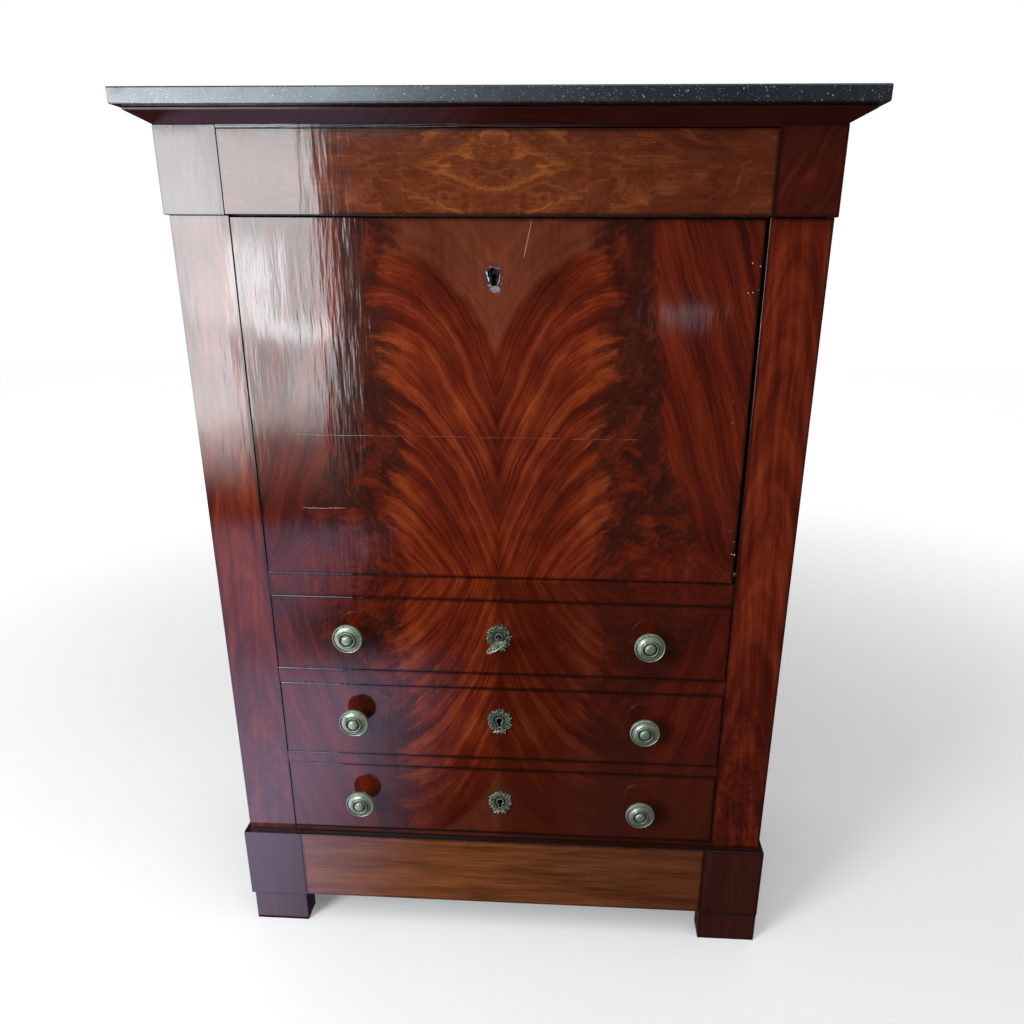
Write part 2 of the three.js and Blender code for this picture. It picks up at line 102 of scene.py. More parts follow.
class Shader:
    """One material and the nodes that make it."""

    def __init__(self, name):
        self.material = bpy.data.materials.new(name)
        self.material.use_nodes = True
        self.tree = self.material.node_tree
        self.tree.nodes.clear()
        self.coordinates = self.tree.nodes.new("ShaderNodeTexCoord")

    def put(self, socket, value):
        if isinstance(value, Val):
            self.tree.links.new(value.socket, socket)
        elif socket.type == "RGBA":
            socket.default_value = (*value, 1.0)
        else:
            socket.default_value = value

    def math(self, operation, *values):
        node = self.tree.nodes.new("ShaderNodeMath")
        node.operation = operation
        for socket, value in zip(node.inputs, values):
            self.put(socket, value)
        return Val(self, node.outputs[0])

    def split(self, output):
        node = self.tree.nodes.new("ShaderNodeSeparateXYZ")
        self.tree.links.new(self.coordinates.outputs[output], node.inputs[0])
        return [Val(self, socket) for socket in node.outputs]

    def place(self):
        """x, y and z of the point, in the row frame at rest."""
        return self.split("Object")

    def facing(self):
        """x, y and z of the surface's own direction."""
        return self.split("Normal")

    def attribute(self, name):
        """A number that the mesh carries at each of its points, 0 where it has none."""
        node = self.tree.nodes.new("ShaderNodeAttribute")
        node.attribute_name = name
        return Val(self, node.outputs["Fac"])

    def vector(self, x, y, z):
        node = self.tree.nodes.new("ShaderNodeCombineXYZ")
        for socket, value in zip(node.inputs, (x, y, z)):
            self.put(socket, value)
        return Val(self, node.outputs[0])

    def noise(self, x, y, z=0.0, detail=2.0, rough=0.5, distort=0.0):
        """Cloudy noise about 0, mostly between -1 and 1, one unit across."""
        node = self.tree.nodes.new("ShaderNodeTexNoise")
        node.inputs["Scale"].default_value = 1.0
        node.inputs["Detail"].default_value = detail
        node.inputs["Roughness"].default_value = rough
        node.inputs["Distortion"].default_value = distort
        self.put(node.inputs["Vector"], self.vector(x, y, z))
        return (Val(self, node.outputs["Fac"]) - 0.5) * 4.0

    def cells(self, x, y, z=0.0, jitter=1.0):
        """Distance to the nearest of scattered points, one unit apart."""
        node = self.tree.nodes.new("ShaderNodeTexVoronoi")
        node.inputs["Scale"].default_value = 1.0
        node.inputs["Randomness"].default_value = jitter
        self.put(node.inputs["Vector"], self.vector(x, y, z))
        return Val(self, node.outputs["Distance"])

    def step(self, value, start, end):
        """0 before start and 1 past end, smooth between."""
        node = self.tree.nodes.new("ShaderNodeMapRange")
        node.interpolation_type = "SMOOTHSTEP"
        self.put(node.inputs["Value"], value)
        self.put(node.inputs["From Min"], start)
        self.put(node.inputs["From Max"], end)
        return Val(self, node.outputs["Result"])

    def mix(self, first, second, share):
        """From first to second as share goes from 0 to 1; both colours or both numbers."""
        node = self.tree.nodes.new("ShaderNodeMix")
        colours = first.socket.type == "RGBA" if isinstance(first, Val) else isinstance(first, tuple)
        kind = "RGBA" if colours else "VALUE"
        node.data_type = "RGBA" if colours else "FLOAT"
        sockets = [s for s in node.inputs if s.enabled and s.type == kind and s.name in "AB"]
        self.put([s for s in node.inputs if s.enabled and s.name == "Factor"][0], share)
        self.put(sockets[0], first)
        self.put(sockets[1], second)
        return Val(self, [s for s in node.outputs if s.enabled][0])

    def ramp(self, value, *stops):
        """Colour by value through stops of (value, colour)."""
        node = self.tree.nodes.new("ShaderNodeValToRGB")
        ramp = node.color_ramp
        while len(ramp.elements) < len(stops):
            ramp.elements.new(1.0)
        for element, (position, colour) in zip(ramp.elements, stops):
            element.position = position
            element.color = (*colour, 1.0)
        self.put(node.inputs["Fac"], value)
        return Val(self, node.outputs["Color"])

    def finish(self, colour, roughness, height=None, **uniform):
        """Joins colour, roughness and height in metres to the shader, whose other values are uniform."""
        surface = self.tree.nodes.new("ShaderNodeBsdfPrincipled")
        output = self.tree.nodes.new("ShaderNodeOutputMaterial")
        self.tree.links.new(surface.outputs[0], output.inputs[0])
        self.put(surface.inputs["Base Color"], colour)
        self.put(surface.inputs["Roughness"], roughness)
        for name, value in uniform.items():
            self.put(surface.inputs[name.replace("_", " ")], value)
        if height is not None:
            bump = self.tree.nodes.new("ShaderNodeBump")
            bump.inputs["Distance"].default_value = 1.0
            bump.inputs["Strength"].default_value = 1.0
            self.put(bump.inputs["Height"], height)
            self.tree.links.new(bump.outputs[0], surface.inputs["Normal"])
            self.tree.links.new(bump.outputs[0], surface.inputs["Coat Normal"])
        return self.material


# -------- wood

DARK = (0.040, 0.0050, 0.0022)
RED = (0.085, 0.0090, 0.0034)
RUSSET = (0.150, 0.0190, 0.0055)
ORANGE = (0.240, 0.0420, 0.0105)
AMBER = (0.340, 0.0820, 0.0200)
MURK = (0.055, 0.0090, 0.0042)
WAX = {"Coat_Weight": 0.3, "Coat_Roughness": 0.2}


def gloss(weight, rough):
    """The uniform values of a varnish, from which all of the wood's shine comes."""
    return {"Coat_Weight": weight, "Coat_Roughness": rough, "Coat_IOR": 1.45, "Specular_IOR_Level": 0.0}


POLISH = gloss(1.0, 0.09)
SATIN = gloss(0.6, 0.20)
FAINT_POLISH = gloss(0.12, 0.22)


def centre_figure(s):
    """Flame veneer, mirrored about x = 0 and about FOLD: a plume, dark clouds, then streaks."""
    x, _, z = s.place()
    drift = s.noise(x * 7.0, z * 7.0, 1.7, detail=3.0)
    side = abs(x + drift * 0.0026)
    high = abs(z - FOLD + drift * 0.0016)
    warp = s.noise(side * 9.0, high * 6.0, 4.1, detail=3.0)
    rise = side * 2.4 - side * side * (high * 3.4 + 5.2)
    stream = high - rise * (1.34 - high * 0.55) + warp * 0.011 + drift * 0.004

    # the plume's bands and the fine lines in them
    bands = s.noise(stream * 30.0, side * 5.0, 2.3, detail=5.0, rough=0.62)
    lines = s.noise(stream * 330.0, side * 34.0, 6.6, detail=4.0, rough=0.72)
    glow = s.noise(side * 13.0, high * 9.0, 9.2, detail=3.0)
    mottle = s.noise(x * 55.0, z * 34.0, 44.0, detail=4.0, rough=0.65)
    rim = s.step(side, 0.07, 0.14) * 0.05 - s.step(side, 0.016, 0.0) * 0.08
    tone = bands * 0.27 + lines * 0.125 + glow * 0.11 + mottle * 0.045 + rim + 0.425
    plume = s.ramp(tone, (0.18, DARK), (0.36, RED), (0.50, RUSSET), (0.65, ORANGE), (0.86, AMBER))

    # the plain heart over it, with faint contour lines
    arch = high - (side * 1.9 - side * side * 6.0) + warp * 0.016 + drift * 0.014
    rings = s.noise(arch * 34.0, side * 3.0, 3.3, detail=4.0, rough=0.6)
    upright = s.noise(x * 120.0, z * 16.0, 45.0, detail=4.0, rough=0.65)
    shaded = s.step(high, 0.44, 0.56) * 0.15
    plain = rings * 0.12 + upright * 0.07 + glow * 0.10 + mottle * 0.04 - shaded + 0.5
    heart = s.ramp(plain, (0.15, (0.050, 0.0100, 0.0050)), (0.5, (0.175, 0.0400, 0.0165)), (0.9, ORANGE))
    plume = s.mix(plume, heart, s.step(arch + bands * 0.006, 0.352, 0.380))
    contour = s.step(abs(arch - 0.385), 0.0034, 0.0006) * s.step(mottle, -1.0, 0.4)
    plume = s.mix(plume, DARK, contour * 0.3)

    # dark clouds at the plume's sides, with cross ripples and torn red flames
    swirl_x = s.noise(side * 11.0, high * 11.0, 51.0, detail=3.0)
    swirl_z = s.noise(side * 11.0, high * 11.0, 57.0, detail=3.0)
    cloud_x = side + swirl_x * 0.018
    cloud_z = high + swirl_z * 0.018
    ripple = s.noise(cloud_x * 46.0, cloud_z * 210.0, 5.0, detail=3.0)
    cloud = s.noise(cloud_x * 34.0, cloud_z * 22.0, 8.0, detail=5.0, rough=0.68, distort=0.6)
    feather = s.noise((cloud_z - cloud_x * 0.9) * 150.0, cloud_x * 26.0, 16.0, detail=4.0, rough=0.65)
    smoke = cloud * 0.20 + feather * 0.10 + ripple * 0.06 + mottle * 0.05 + drift * 0.05 + 0.5
    murk = s.ramp(smoke, (0.18, (0.017, 0.0032, 0.0020)), (0.50, (0.042, 0.0078, 0.0040)),
                  (0.80, (0.125, 0.0200, 0.0080)))
    shape = s.noise(cloud_x * 19.0, cloud_z * 15.0, 12.0, detail=5.0, rough=0.6, distort=0.8)
    low = s.step(high, 0.34, 0.02)
    torn = s.step(shape + low * 0.85 + feather * 0.28 + drift * 0.2, 0.42, 0.74)
    licks = s.noise(stream * 70.0 + swirl_x, cloud_x * 30.0, 15.0, detail=4.0, rough=0.65)
    flame = s.ramp(licks * 0.19 + feather * 0.08 + cloud * 0.08 + 0.44,
                   (0.22, DARK), (0.42, RED), (0.60, RUSSET), (0.84, ORANGE))
    murk = s.mix(murk, flame, torn * 0.85)

    # long streaks outside them, with rings round a knot near the fold
    slant = side + high * 0.34 + warp * 0.008
    streaks = s.noise(slant * 46.0, high * 2.0, 20.0, detail=5.0, rough=0.66)
    hairs = s.noise(slant * 430.0, high * 12.0, 22.0, detail=3.0)
    bound = s.math("EXPONENT", high * -6.2) * 0.17 + 0.222
    verge = s.step(side - bound, 0.060, 0.010) * s.step(high, 0.0, 0.25) * 0.12
    streaked = streaks * 0.30 + hairs * 0.10 + drift * 0.05 + verge
    outer = s.ramp(streaked + s.step(high, 0.05, 0.32) * 0.10 + 0.29,
                   (0.20, (0.026, 0.0040, 0.0022)), (0.40, RED), (0.60, RUSSET), (0.86, ORANGE))
    knot_x = side - 0.292
    knot_z = high - 0.018
    around = s.math("SQRT", knot_x * knot_x + knot_z * knot_z) + swirl_x * 0.008
    swirl = s.noise(around * 105.0 + shape * 0.5, side * 16.0, 25.0, detail=4.0, rough=0.6)
    eye = s.ramp(swirl * 0.20 + cloud * 0.12 + 0.46, (0.22, DARK), (0.45, RED), (0.65, RUSSET), (0.9, ORANGE))

    sway = s.noise(side * 8.0, high * 10.0, 29.0, detail=2.0)
    ragged = s.noise(side * 30.0, stream * 44.0, 30.0, detail=5.0, rough=0.7)
    edge = 0.160 + sway * 0.024 + ragged * 0.018 + bands * 0.026 + drift * 0.009
    past = s.step(side - edge, -0.020, 0.010)
    colour = s.mix(plume, s.mix(murk, DARK, s.step(abs(side - edge), 0.02, 0.0) * 0.25), past)
    frayed = s.noise(side * 18.0, high * 11.0, 33.0, detail=5.0, rough=0.65)
    colour = s.mix(colour, outer, s.step(side - bound + frayed * 0.020 + streaks * 0.012, -0.008, 0.008))
    near_knot = s.step(around + shape * 0.012, 0.066, 0.036) * s.step(shape + swirl, -1.2, 0.2)
    colour = s.mix(colour, eye, near_knot * 0.8)

    # below the fold the right leaf turns its grain from the light
    turned = s.step(FOLD - z, -0.003, 0.003) * s.step(x, -0.006, 0.006)
    turned = turned * (s.step(x, 0.31, 0.25) * 0.35 + 0.65)
    dimmed = s.mix(colour, DARK, 0.58)
    colour = s.mix(colour, dimmed, turned)
    murky = s.step(z, 0.44, 0.30) * (s.step(x, -0.14, 0.10) * 0.40 + 0.32)
    return s.mix(colour, MURK, murky), lines * 0.5 + bands * 0.5


def block_figure(s):
    """Dark veneer with slanting waves, for the corner blocks."""
    x, _, z = s.place()
    side = abs(x)
    sway = s.noise(side * 20.0, z * 12.0, 1.0, detail=3.0)
    slant = side * 0.9 - z * 0.55 + sway * 0.010
    waves = s.noise(slant * 95.0, (side + z) * 9.0, 5.0, detail=4.0, rough=0.62)
    hairs = s.noise(side * 520.0, z * 30.0, 9.0, detail=2.0)
    cloud = s.noise(side * 24.0, z * 24.0, 14.0, detail=3.0)
    tone = waves * 0.20 + hairs * 0.05 + cloud * 0.10 + 0.46
    colour = s.ramp(tone, (0.22, (0.028, 0.0045, 0.0024)), (0.50, (0.058, 0.0078, 0.0034)), (0.86, RUSSET))
    return colour, waves


def pilaster_figure(s):
    """Tall arches and streaks, the two pilasters alike."""
    x, _, z = s.place()
    across = abs(x) - PILASTER_MIDDLE
    sway = s.noise(across * 14.0, z * 5.0, 1.0, detail=3.0)
    arch = z + across * across * 62.0 + sway * 0.012
    bands = s.noise(arch * 13.0, across * 10.0, 5.0, detail=4.0, rough=0.6)
    slant = across + z * 0.03 + sway * 0.006
    streaks = s.noise(slant * 90.0, z * 3.0, 9.0, detail=4.0, rough=0.6)
    hairs = s.noise(slant * 600.0, z * 16.0, 11.0, detail=2.0)
    wavy = s.noise(across * 60.0, z * 42.0, 14.0, detail=3.0, distort=1.2) * s.step(z, 0.62, 0.30)
    lift = s.step(z, 0.25, 0.75) * 0.13 - s.step(z, 0.90, 1.20) * 0.045
    tone = bands * 0.17 + streaks * 0.14 + hairs * 0.05 + wavy * 0.13 + lift + 0.36
    return s.ramp(tone, (0.24, DARK), (0.40, RED), (0.54, RUSSET), (0.72, ORANGE), (0.9, AMBER)), streaks


def frieze_figure(s):
    """Golden flames opened like a book about x = 0, in kites one in another about FRIEZE_FOLD."""
    x, _, z = s.place()
    drift = s.noise(x * 8.0, z * 20.0, 2.0)
    side = abs(x + drift * 0.002)
    rise = z - FRIEZE_FOLD
    high = abs(rise + drift * 0.0008)
    field = s.noise(side * 7.0, high * 17.0 + rise * 7.0, 3.4, detail=5.0, rough=0.6, distort=0.5)
    crumple = s.noise(side * 34.0, high * 60.0 + rise * 14.0, 23.0, detail=4.0, rough=0.65)
    contour = side * 6.5 + high * 15.0 + field * 0.95 + crumple * 0.10
    bands = s.noise(contour * 3.4, side * 5.0, 12.0, detail=5.0, rough=0.62)
    lines = s.noise(contour * 19.0, side * 9.0, 14.0, detail=3.0, rough=0.6)
    grain = s.noise(side * 12.0, z * 260.0, 6.0, detail=3.0)
    veil = s.noise(side * 12.0, high * 30.0, 8.0, detail=4.0, rough=0.65)
    heart = s.step(side, 0.16, 0.02)
    kite = side * 6.5 + abs(rise - 0.006) * 15.0 + field * 0.42 + crumple * 0.12
    vein = s.step(abs(s.math("SINE", kite * 5.2)), 0.50, 0.02) * s.step(veil + heart * 1.6, -0.6, 1.2)
    tone = bands * 0.16 + lines * 0.07 + vein * 0.22 + grain * 0.04 + veil * 0.08 + crumple * 0.05
    tone = tone + heart * 0.06 + 0.35
    colour = s.ramp(tone, (0.12, (0.040, 0.0080, 0.0034)), (0.36, (0.110, 0.0230, 0.0080)),
                    (0.60, (0.220, 0.0580, 0.0160)), (0.88, (0.380, 0.1250, 0.0330)))
    dim = s.step(abs(x), 0.17, 0.36) * s.step(veil, -0.9, 0.9) * 0.4
    return s.mix(colour, MURK, dim), lines


def plain_figure(s, dark, light, along="x", scale=1.0, contrast=1.0):
    """Straight grain that runs along x, y or z, without mirror images."""
    x, y, z = s.place()
    run, first, second = {"x": (x, y, z), "y": (y, x, z), "z": (z, x, y)}[along]
    sway = s.noise(run * 3.0, (first + second) * 6.0, 1.0, detail=2.0)
    across = first + second * 1.3 + sway * 0.004
    bands = s.noise(across * 60.0 * scale, run * 2.4, 3.0, detail=4.0, rough=0.6)
    hairs = s.noise(across * 420.0 * scale, run * 14.0, 5.0, detail=2.0)
    patch = s.noise(run * 5.0, across * 14.0, 7.0, detail=3.0)
    tone = (bands * 0.15 + hairs * 0.08 + patch * 0.09) * contrast + 0.5
    return s.ramp(tone, (0.2, dark), (0.8, light)), hairs


def skirt_figure(s):
    """Plain golden wood with dark ribbons, redder and darker towards its right end."""
    x, _, _ = s.place()
    colour, hairs = plain_figure(s, (0.070, 0.0185, 0.0065), (0.255, 0.0830, 0.0270), "x", 0.55, contrast=1.9)
    return s.mix(colour, (0.060, 0.0110, 0.0045), s.step(x, -0.10, 0.40) * 0.5), hairs


def from_edge(s, node):
    """Distance in metres from the nearest edge of the node's front."""
    x, _, z = s.place()
    low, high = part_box(node)
    from_side = s.math("MINIMUM", x - low.x, high.x - x)
    from_end = s.math("MINIMUM", z - low.z, high.z - z)
    return s.math("MINIMUM", from_side, from_end)


def edge_wear_and_highlight(s, node, reach=0.0011):
    """1 along the edges of the node's front, broken up, and 0 elsewhere: partly real wear, partly a painted
    highlight where the arrises catch the light.
    """
    x, _, z = s.place()
    broken = s.noise(x * 17.0, z * 17.0, 3.0, detail=6.0, rough=0.7)
    return s.step(from_edge(s, node) + broken * 0.0005, reach, reach * 0.3) * s.step(broken, 0.8, 1.5)


def edge_gap_shade(s, node):
    """Painted shade along the edges, where the gaps between parts fall dark, wider in places."""
    x, _, z = s.place()
    cloud = s.noise(x * 25.0, z * 25.0, 13.0, detail=3.0)
    return s.step(from_edge(s, node) + cloud * 0.0014, 0.0060, 0.0006)


def keyhole_shade(s, colour):
    """Painted shade, black inside and round the drawers' keyholes, where no light and much dirt gets in."""
    x, _, z = s.place()
    for drawer in DRAWER_NAMES:
        hole = middle(f"drawer_{drawer}_escutcheon")
        off_x, off_z = x - hole.x, z - hole.z
        away = s.math("SQRT", off_x * off_x + off_z * off_z)
        colour = s.mix(colour, (0.0012, 0.0010, 0.0009), s.step(away, 0.0150, 0.0125))
    return colour


def varnish_relief(s, rippled=0.000012):
    """Slow waves and upright ripples in old polish, in metres."""
    x, y, z = s.place()
    across = x + y
    waves = s.noise(across * 6.0, z * 3.5, 4.0, detail=2.0)
    ripples = s.noise(across * 34.0, z * 5.0, 6.0, detail=3.0, rough=0.6)
    marks = s.noise(across * 150.0, z * 15.0, 8.0, detail=3.0, rough=0.6)
    few = s.step(s.noise(across * 9.0, z * 7.0, 18.0, detail=2.0), -1.2, 0.9)
    return waves * 0.00030 + ripples * 0.00012 + marks * few * rippled


def veneered(name, node, figure, marks=None, rippled=0.000012, **figure_words):
    """Polished veneer on the front of a node and plain solid wood on its other faces.

    rippled is the height of the fine ripples in its polish."""
    s = Shader(name)
    x, _, z = s.place()
    _, facing_y, facing_z = s.facing()
    colour, grain = figure(s, **figure_words)
    height = varnish_relief(s, rippled) + grain * 0.000006
    wear_and_highlight = edge_wear_and_highlight(s, node)
    # painted shade, near black, along the edges by the gaps
    colour = s.mix(colour, (0.012, 0.0026, 0.0016), edge_gap_shade(s, node) * 0.72)
    # pale along the edges: partly real wear, partly a painted highlight where the arrises catch the light
    colour = s.mix(colour, (0.24, 0.10, 0.055), wear_and_highlight * 0.55)
    rubbed = s.noise(x * 12.0, z * 12.0, 40.0, detail=4.0)
    roughness = rubbed * 0.05 + 0.42
    if marks:
        colour, height = marks(s, colour, height)
    plain, _ = plain_figure(s, (0.020, 0.0055, 0.0032), (0.075, 0.020, 0.010))
    # faces that look up turn near black
    plain = s.mix(plain, (0.006, 0.004, 0.004), s.step(facing_z, 0.4, 0.8) * 0.75)
    front = s.step(-facing_y, 0.35, 0.6)
    return s.finish(keyhole_shade(s, s.mix(plain, colour, front)), roughness, height, **POLISH)


def fall_marks(s, colour, height):
    """The fall's ragged, old keyhole with a painted glint at its left edge, its hairline joint and cracks,
    scratches and specks of paint.
    """
    x, _, z = s.place()
    rough = s.noise(x * 160.0, z * 160.0, 2.0, detail=3.0)
    away_x = x - KEYHOLE[0]
    away_z = (z - KEYHOLE[1]) * 0.8
    away = s.math("SQRT", away_x * away_x + away_z * away_z)
    stain = s.step(away + rough * 0.0030, 0.0190, 0.0120)
    colour = s.mix(colour, (0.075, 0.028, 0.026), stain * 0.75)
    chalk = s.step(away + rough * 0.0022, 0.0150, 0.0125) * s.step(rough, 0.2, 0.7)
    colour = s.mix(colour, (0.46, 0.38, 0.42), chalk * 0.9)
    drop_x, drop_z = (away_x - 0.0015) * 0.62, z - KEYHOLE[1] + 0.0168
    crumbs = s.noise(x * 420.0, z * 420.0, 9.0, detail=3.0)
    filler = s.step(s.math("SQRT", drop_x * drop_x + drop_z * drop_z) + rough * 0.0020, 0.0054, 0.0034)
    colour = s.mix(colour, (0.30, 0.29, 0.35), filler * (s.step(crumbs, -0.9, 0.5) * 0.65 + 0.2))
    # painted highlight: a thin pale cyan glint along the keyhole's left edge
    rim = s.step(abs(away_x + 0.0086 + (z - KEYHOLE[1]) * 0.30), 0.0012, 0.0006)
    colour = s.mix(colour, (0.55, 0.85, 0.90), rim * s.step(abs(z - KEYHOLE[1] - 0.0005), 0.0078, 0.0058))
    for level, start, end, strength in CRACKS:
        bend = s.noise(x * 14.0, level * 40.0, 3.0, detail=5.0, rough=0.75)
        off = abs(z - level - bend * 0.0022)
        line = s.step(off, 0.0009, 0.0002) * s.step(x, start, start + 0.004) * s.step(x, end, end - 0.004)
        gap = s.step(s.noise(x * 38.0, level * 7.0, 5.0, detail=4.0, rough=0.7), -0.5, 0.5)
        colour = s.mix(colour, DARK, line * 0.7)
        colour = s.mix(colour, (0.21, 0.095, 0.065), line * gap * strength)
        height = height - line * 0.00010
    scratch = abs((x - 0.0475) - (z - 1.242) * 0.22)
    line = s.step(scratch, 0.0008, 0.0003) * s.step(z, 1.207, 1.216) * s.step(z, 1.262, 1.256)
    colour = s.mix(colour, (0.50, 0.28, 0.20), line * 0.7)
    specks = s.step(s.cells(x * 95.0, z * 95.0), 0.13, 0.09) * s.step(x, 0.350, 0.368)
    few = s.step(s.noise(x * 30.0, z * 22.0, 8.0, detail=2.0), 0.15, 0.5)
    colour = s.mix(colour, (0.75, 0.72, 0.68), specks * few)
    return colour, height


def straight(name, dark, light, along="x", scale=1.0, rough=0.45, polish=None, plank=None):
    """Plain wood all over, polished or raw; plank is the width of the upright boards it is joined from."""
    s = Shader(name)
    x, y, z = s.place()
    colour, grain = plain_figure(s, dark, light, along, scale)
    rubbed = s.noise(x * 11.0, z * 11.0, y * 11.0, detail=4.0)
    height = grain * 0.00002
    if plank:
        board = s.math("FLOOR", x / plank)
        tint = s.noise(board * 3.7, 0.5, 60.0, detail=0.0)
        joint = s.step(abs(s.math("FRACT", x / plank) - 0.5), 0.490, 0.497)
        colour = s.mix(colour, dark, s.step(tint, -1.0, 1.0) * 0.45 + rubbed * 0.08 + 0.1)
        colour = s.mix(colour, (0.010, 0.006, 0.004), joint)
        height = height - joint * 0.0008
    if polish:
        height = height + varnish_relief(s)
    return s.finish(colour, rubbed * 0.05 + rough, height, **(polish or {"Specular_IOR_Level": 0.3}))


# -------- stone, metal, leather

def stone():
    """Black fossil marble with pale flecks, and scuffed patches where its polish is rougher."""
    s = Shader("fossil_marble")
    x, y, z = s.place()
    clouds = s.noise(x * 7.0, y * 7.0, z * 7.0, detail=4.0)
    ground = s.ramp(clouds * 0.2 + 0.5, (0.2, (0.007, 0.008, 0.011)), (0.8, (0.026, 0.030, 0.035)))
    colour = ground
    for size, limit, share in ((150.0, 0.20, 0.7), (330.0, 0.26, 0.55)):
        near = s.cells(x * size, y * size, z * size)
        pick = s.noise(x * size * 0.35, y * size * 0.35, z * size * 0.35, detail=2.0)
        fleck = s.step(near, limit, limit * 0.5) * s.step(pick, -0.35, 0.4)
        colour = s.mix(colour, (0.36, 0.39, 0.40), fleck * share)
    scuff = s.noise(x * 26.0, y * 26.0, z * 26.0, detail=5.0)
    roughness = s.step(scuff, -1.0, 1.4) * 0.16 + 0.14
    return s.finish(colour, roughness, scuff * 0.00003 + clouds * 0.00012, Specular_IOR_Level=0.7)


def old_brass():
    """Brass gone dull and greenish, rubbed brighter here and there, with painted shade near black in its
    hollows.
    """
    s = Shader("old_brass")
    x, y, z = s.place()
    patina = s.noise(x * 60.0, y * 60.0, z * 60.0, detail=5.0, rough=0.6)
    spots = s.noise(x * 320.0, y * 320.0, z * 320.0, detail=3.0)
    colour = s.ramp(patina * 0.15 + spots * 0.05 + 0.5, (0.20, (0.095, 0.120, 0.082)),
                    (0.50, (0.220, 0.262, 0.188)), (0.8, (0.355, 0.395, 0.285)))
    # painted shade: near black where the mesh marks a hollow, a groove or the back of a head
    depth = s.attribute("crevice") + patina * 0.07
    colour = s.mix(colour, (0.020, 0.021, 0.016), s.step(depth, 0.12, 0.95) * 0.9)
    roughness = spots * 0.04 + patina * 0.05 + 0.40
    return s.finish(colour, roughness, spots * 0.00002, Metallic=0.5)


def old_steel():
    """Dark steel with a little brown rust, and painted shade, black, in the keyholes."""
    s = Shader("old_steel")
    x, y, z = s.place()
    rust = s.noise(x * 90.0, y * 90.0, z * 90.0, detail=5.0)
    colour = s.ramp(rust * 0.2 + 0.5, (0.3, (0.10, 0.10, 0.11)), (0.6, (0.28, 0.27, 0.27)),
                    (0.8, (0.10, 0.05, 0.03)))
    # painted shade: the steel turns black behind the fall's keyhole, but for a strip at its left edge
    torn = s.step(abs(z - KEYHOLE[1]), 0.030, 0.020) * s.step(x, KEYHOLE[0] - 0.0065, KEYHOLE[0] - 0.0035)
    colour = s.mix(colour, (0.004, 0.004, 0.005), torn * s.step(abs(x - KEYHOLE[0]), 0.030, 0.020) * 0.95)
    return s.finish(keyhole_shade(s, colour), rust * 0.08 + 0.42, rust * 0.00003, Metallic=0.9)


def desk_leather():
    """Worn brown leather with a tooled border line."""
    s = Shader("desk_leather")
    x, y, z = s.place()
    pores = s.cells(x * 900.0, y * 900.0, z * 900.0)
    wear = s.noise(x * 8.0, z * 8.0, 3.0, detail=5.0)
    tone = wear * 0.22 + pores * 0.2 + 0.4
    colour = s.ramp(tone, (0.2, (0.035, 0.014, 0.008)), (0.8, (0.16, 0.062, 0.030)))
    inset = from_edge(s, "writing_leather")
    gilt = s.step(abs(inset - 0.016), 0.0012, 0.0007) + s.step(abs(inset - 0.0215), 0.0007, 0.0003)
    fresh = s.step(s.noise(x * 40.0, z * 40.0, 9.0, detail=3.0), -0.9, 0.2)
    colour = s.mix(colour, (0.45, 0.30, 0.10), gilt * fresh)
    return s.finish(colour, wear * 0.06 + 0.55, pores * 0.00012 - gilt * 0.00015)


STEEL = old_steel()
BRASS = old_brass()
DIM = (0.020, 0.0045, 0.0032)
DIM_LIGHT = (0.065, 0.0150, 0.0090)
BACK_PLANK = 0.148  # width of a board of the back panel


def dress(node, material):
    """Gives a CAD node its finish."""
    thing = NODES[node]
    thing.data.materials.clear()
    thing.data.materials.append(material)


def soften(node, width):
    """Rounds a CAD node's sharp edges, with modifiers only."""
    thing = NODES[node]
    weld = thing.modifiers.new("weld", "WELD")
    weld.merge_threshold = 0.00001
    bevel = thing.modifiers.new("bevel", "BEVEL")
    bevel.width = width
    bevel.segments = 2
    bevel.limit_method = "ANGLE"
    bevel.angle_limit = math.radians(40)
    bevel.use_clamp_overlap = True


WOODEN = ("frieze_block_", "plinth_", "foot_", "rail_under_fall", "drawer_rail_", "bottom_board", "cornice_",
          "frieze_drawer_front", "fall_panel", "case_side_")
PILASTER_EDGE = 0.0004  # width of the bevel along the edges, in metres
WOOD_EDGE = 0.0007

for node in NODES:
    if node.startswith("pilaster_"):
        soften(node, PILASTER_EDGE)
    if node.startswith(WOODEN) or node.startswith("drawer_") and node.endswith("_front"):
        soften(node, WOOD_EDGE)
dress("fall_panel", veneered("veneer_fall", "fall_panel", centre_figure, fall_marks, rippled=0.000050))
for node in ("rail_under_fall", "drawer_rail_upper", "drawer_rail_lower", "bottom_board"):
    dress(node, veneered("veneer_" + node, node, centre_figure))
for drawer in DRAWER_NAMES:
    front = f"drawer_{drawer}_front"
    dress(front, veneered("veneer_" + front, front, centre_figure))
dress("frieze_drawer_front", veneered("veneer_frieze", "frieze_drawer_front", frieze_figure))
for side in ("left", "right"):
    for node, figure in (("pilaster_", pilaster_figure), ("frieze_block_", block_figure)):
        dress(node + side, veneered("veneer_" + node + side, node + side, figure))
    for node in ("plinth_block_", "foot_front_"):
        dress(node + side, veneered("veneer_" + node + side, node + side, plain_figure,
                                    dark=DIM, light=DIM_LIGHT, along="z", scale=0.6))
    side_wood = straight("case_side_wood_" + side, (0.050, 0.010, 0.0045), (0.17, 0.036, 0.013), "z", 0.7,
                         polish=FAINT_POLISH)
    dress("case_side_" + side, side_wood)
    base_wood = straight("base_wood_" + side, DIM, DIM_LIGHT, "y", 0.8, polish=FAINT_POLISH)
    dress("plinth_side_" + side, base_wood)
    dress("foot_rear_" + side, base_wood)
dress("plinth_skirt", veneered("veneer_skirt", "plinth_skirt", skirt_figure))
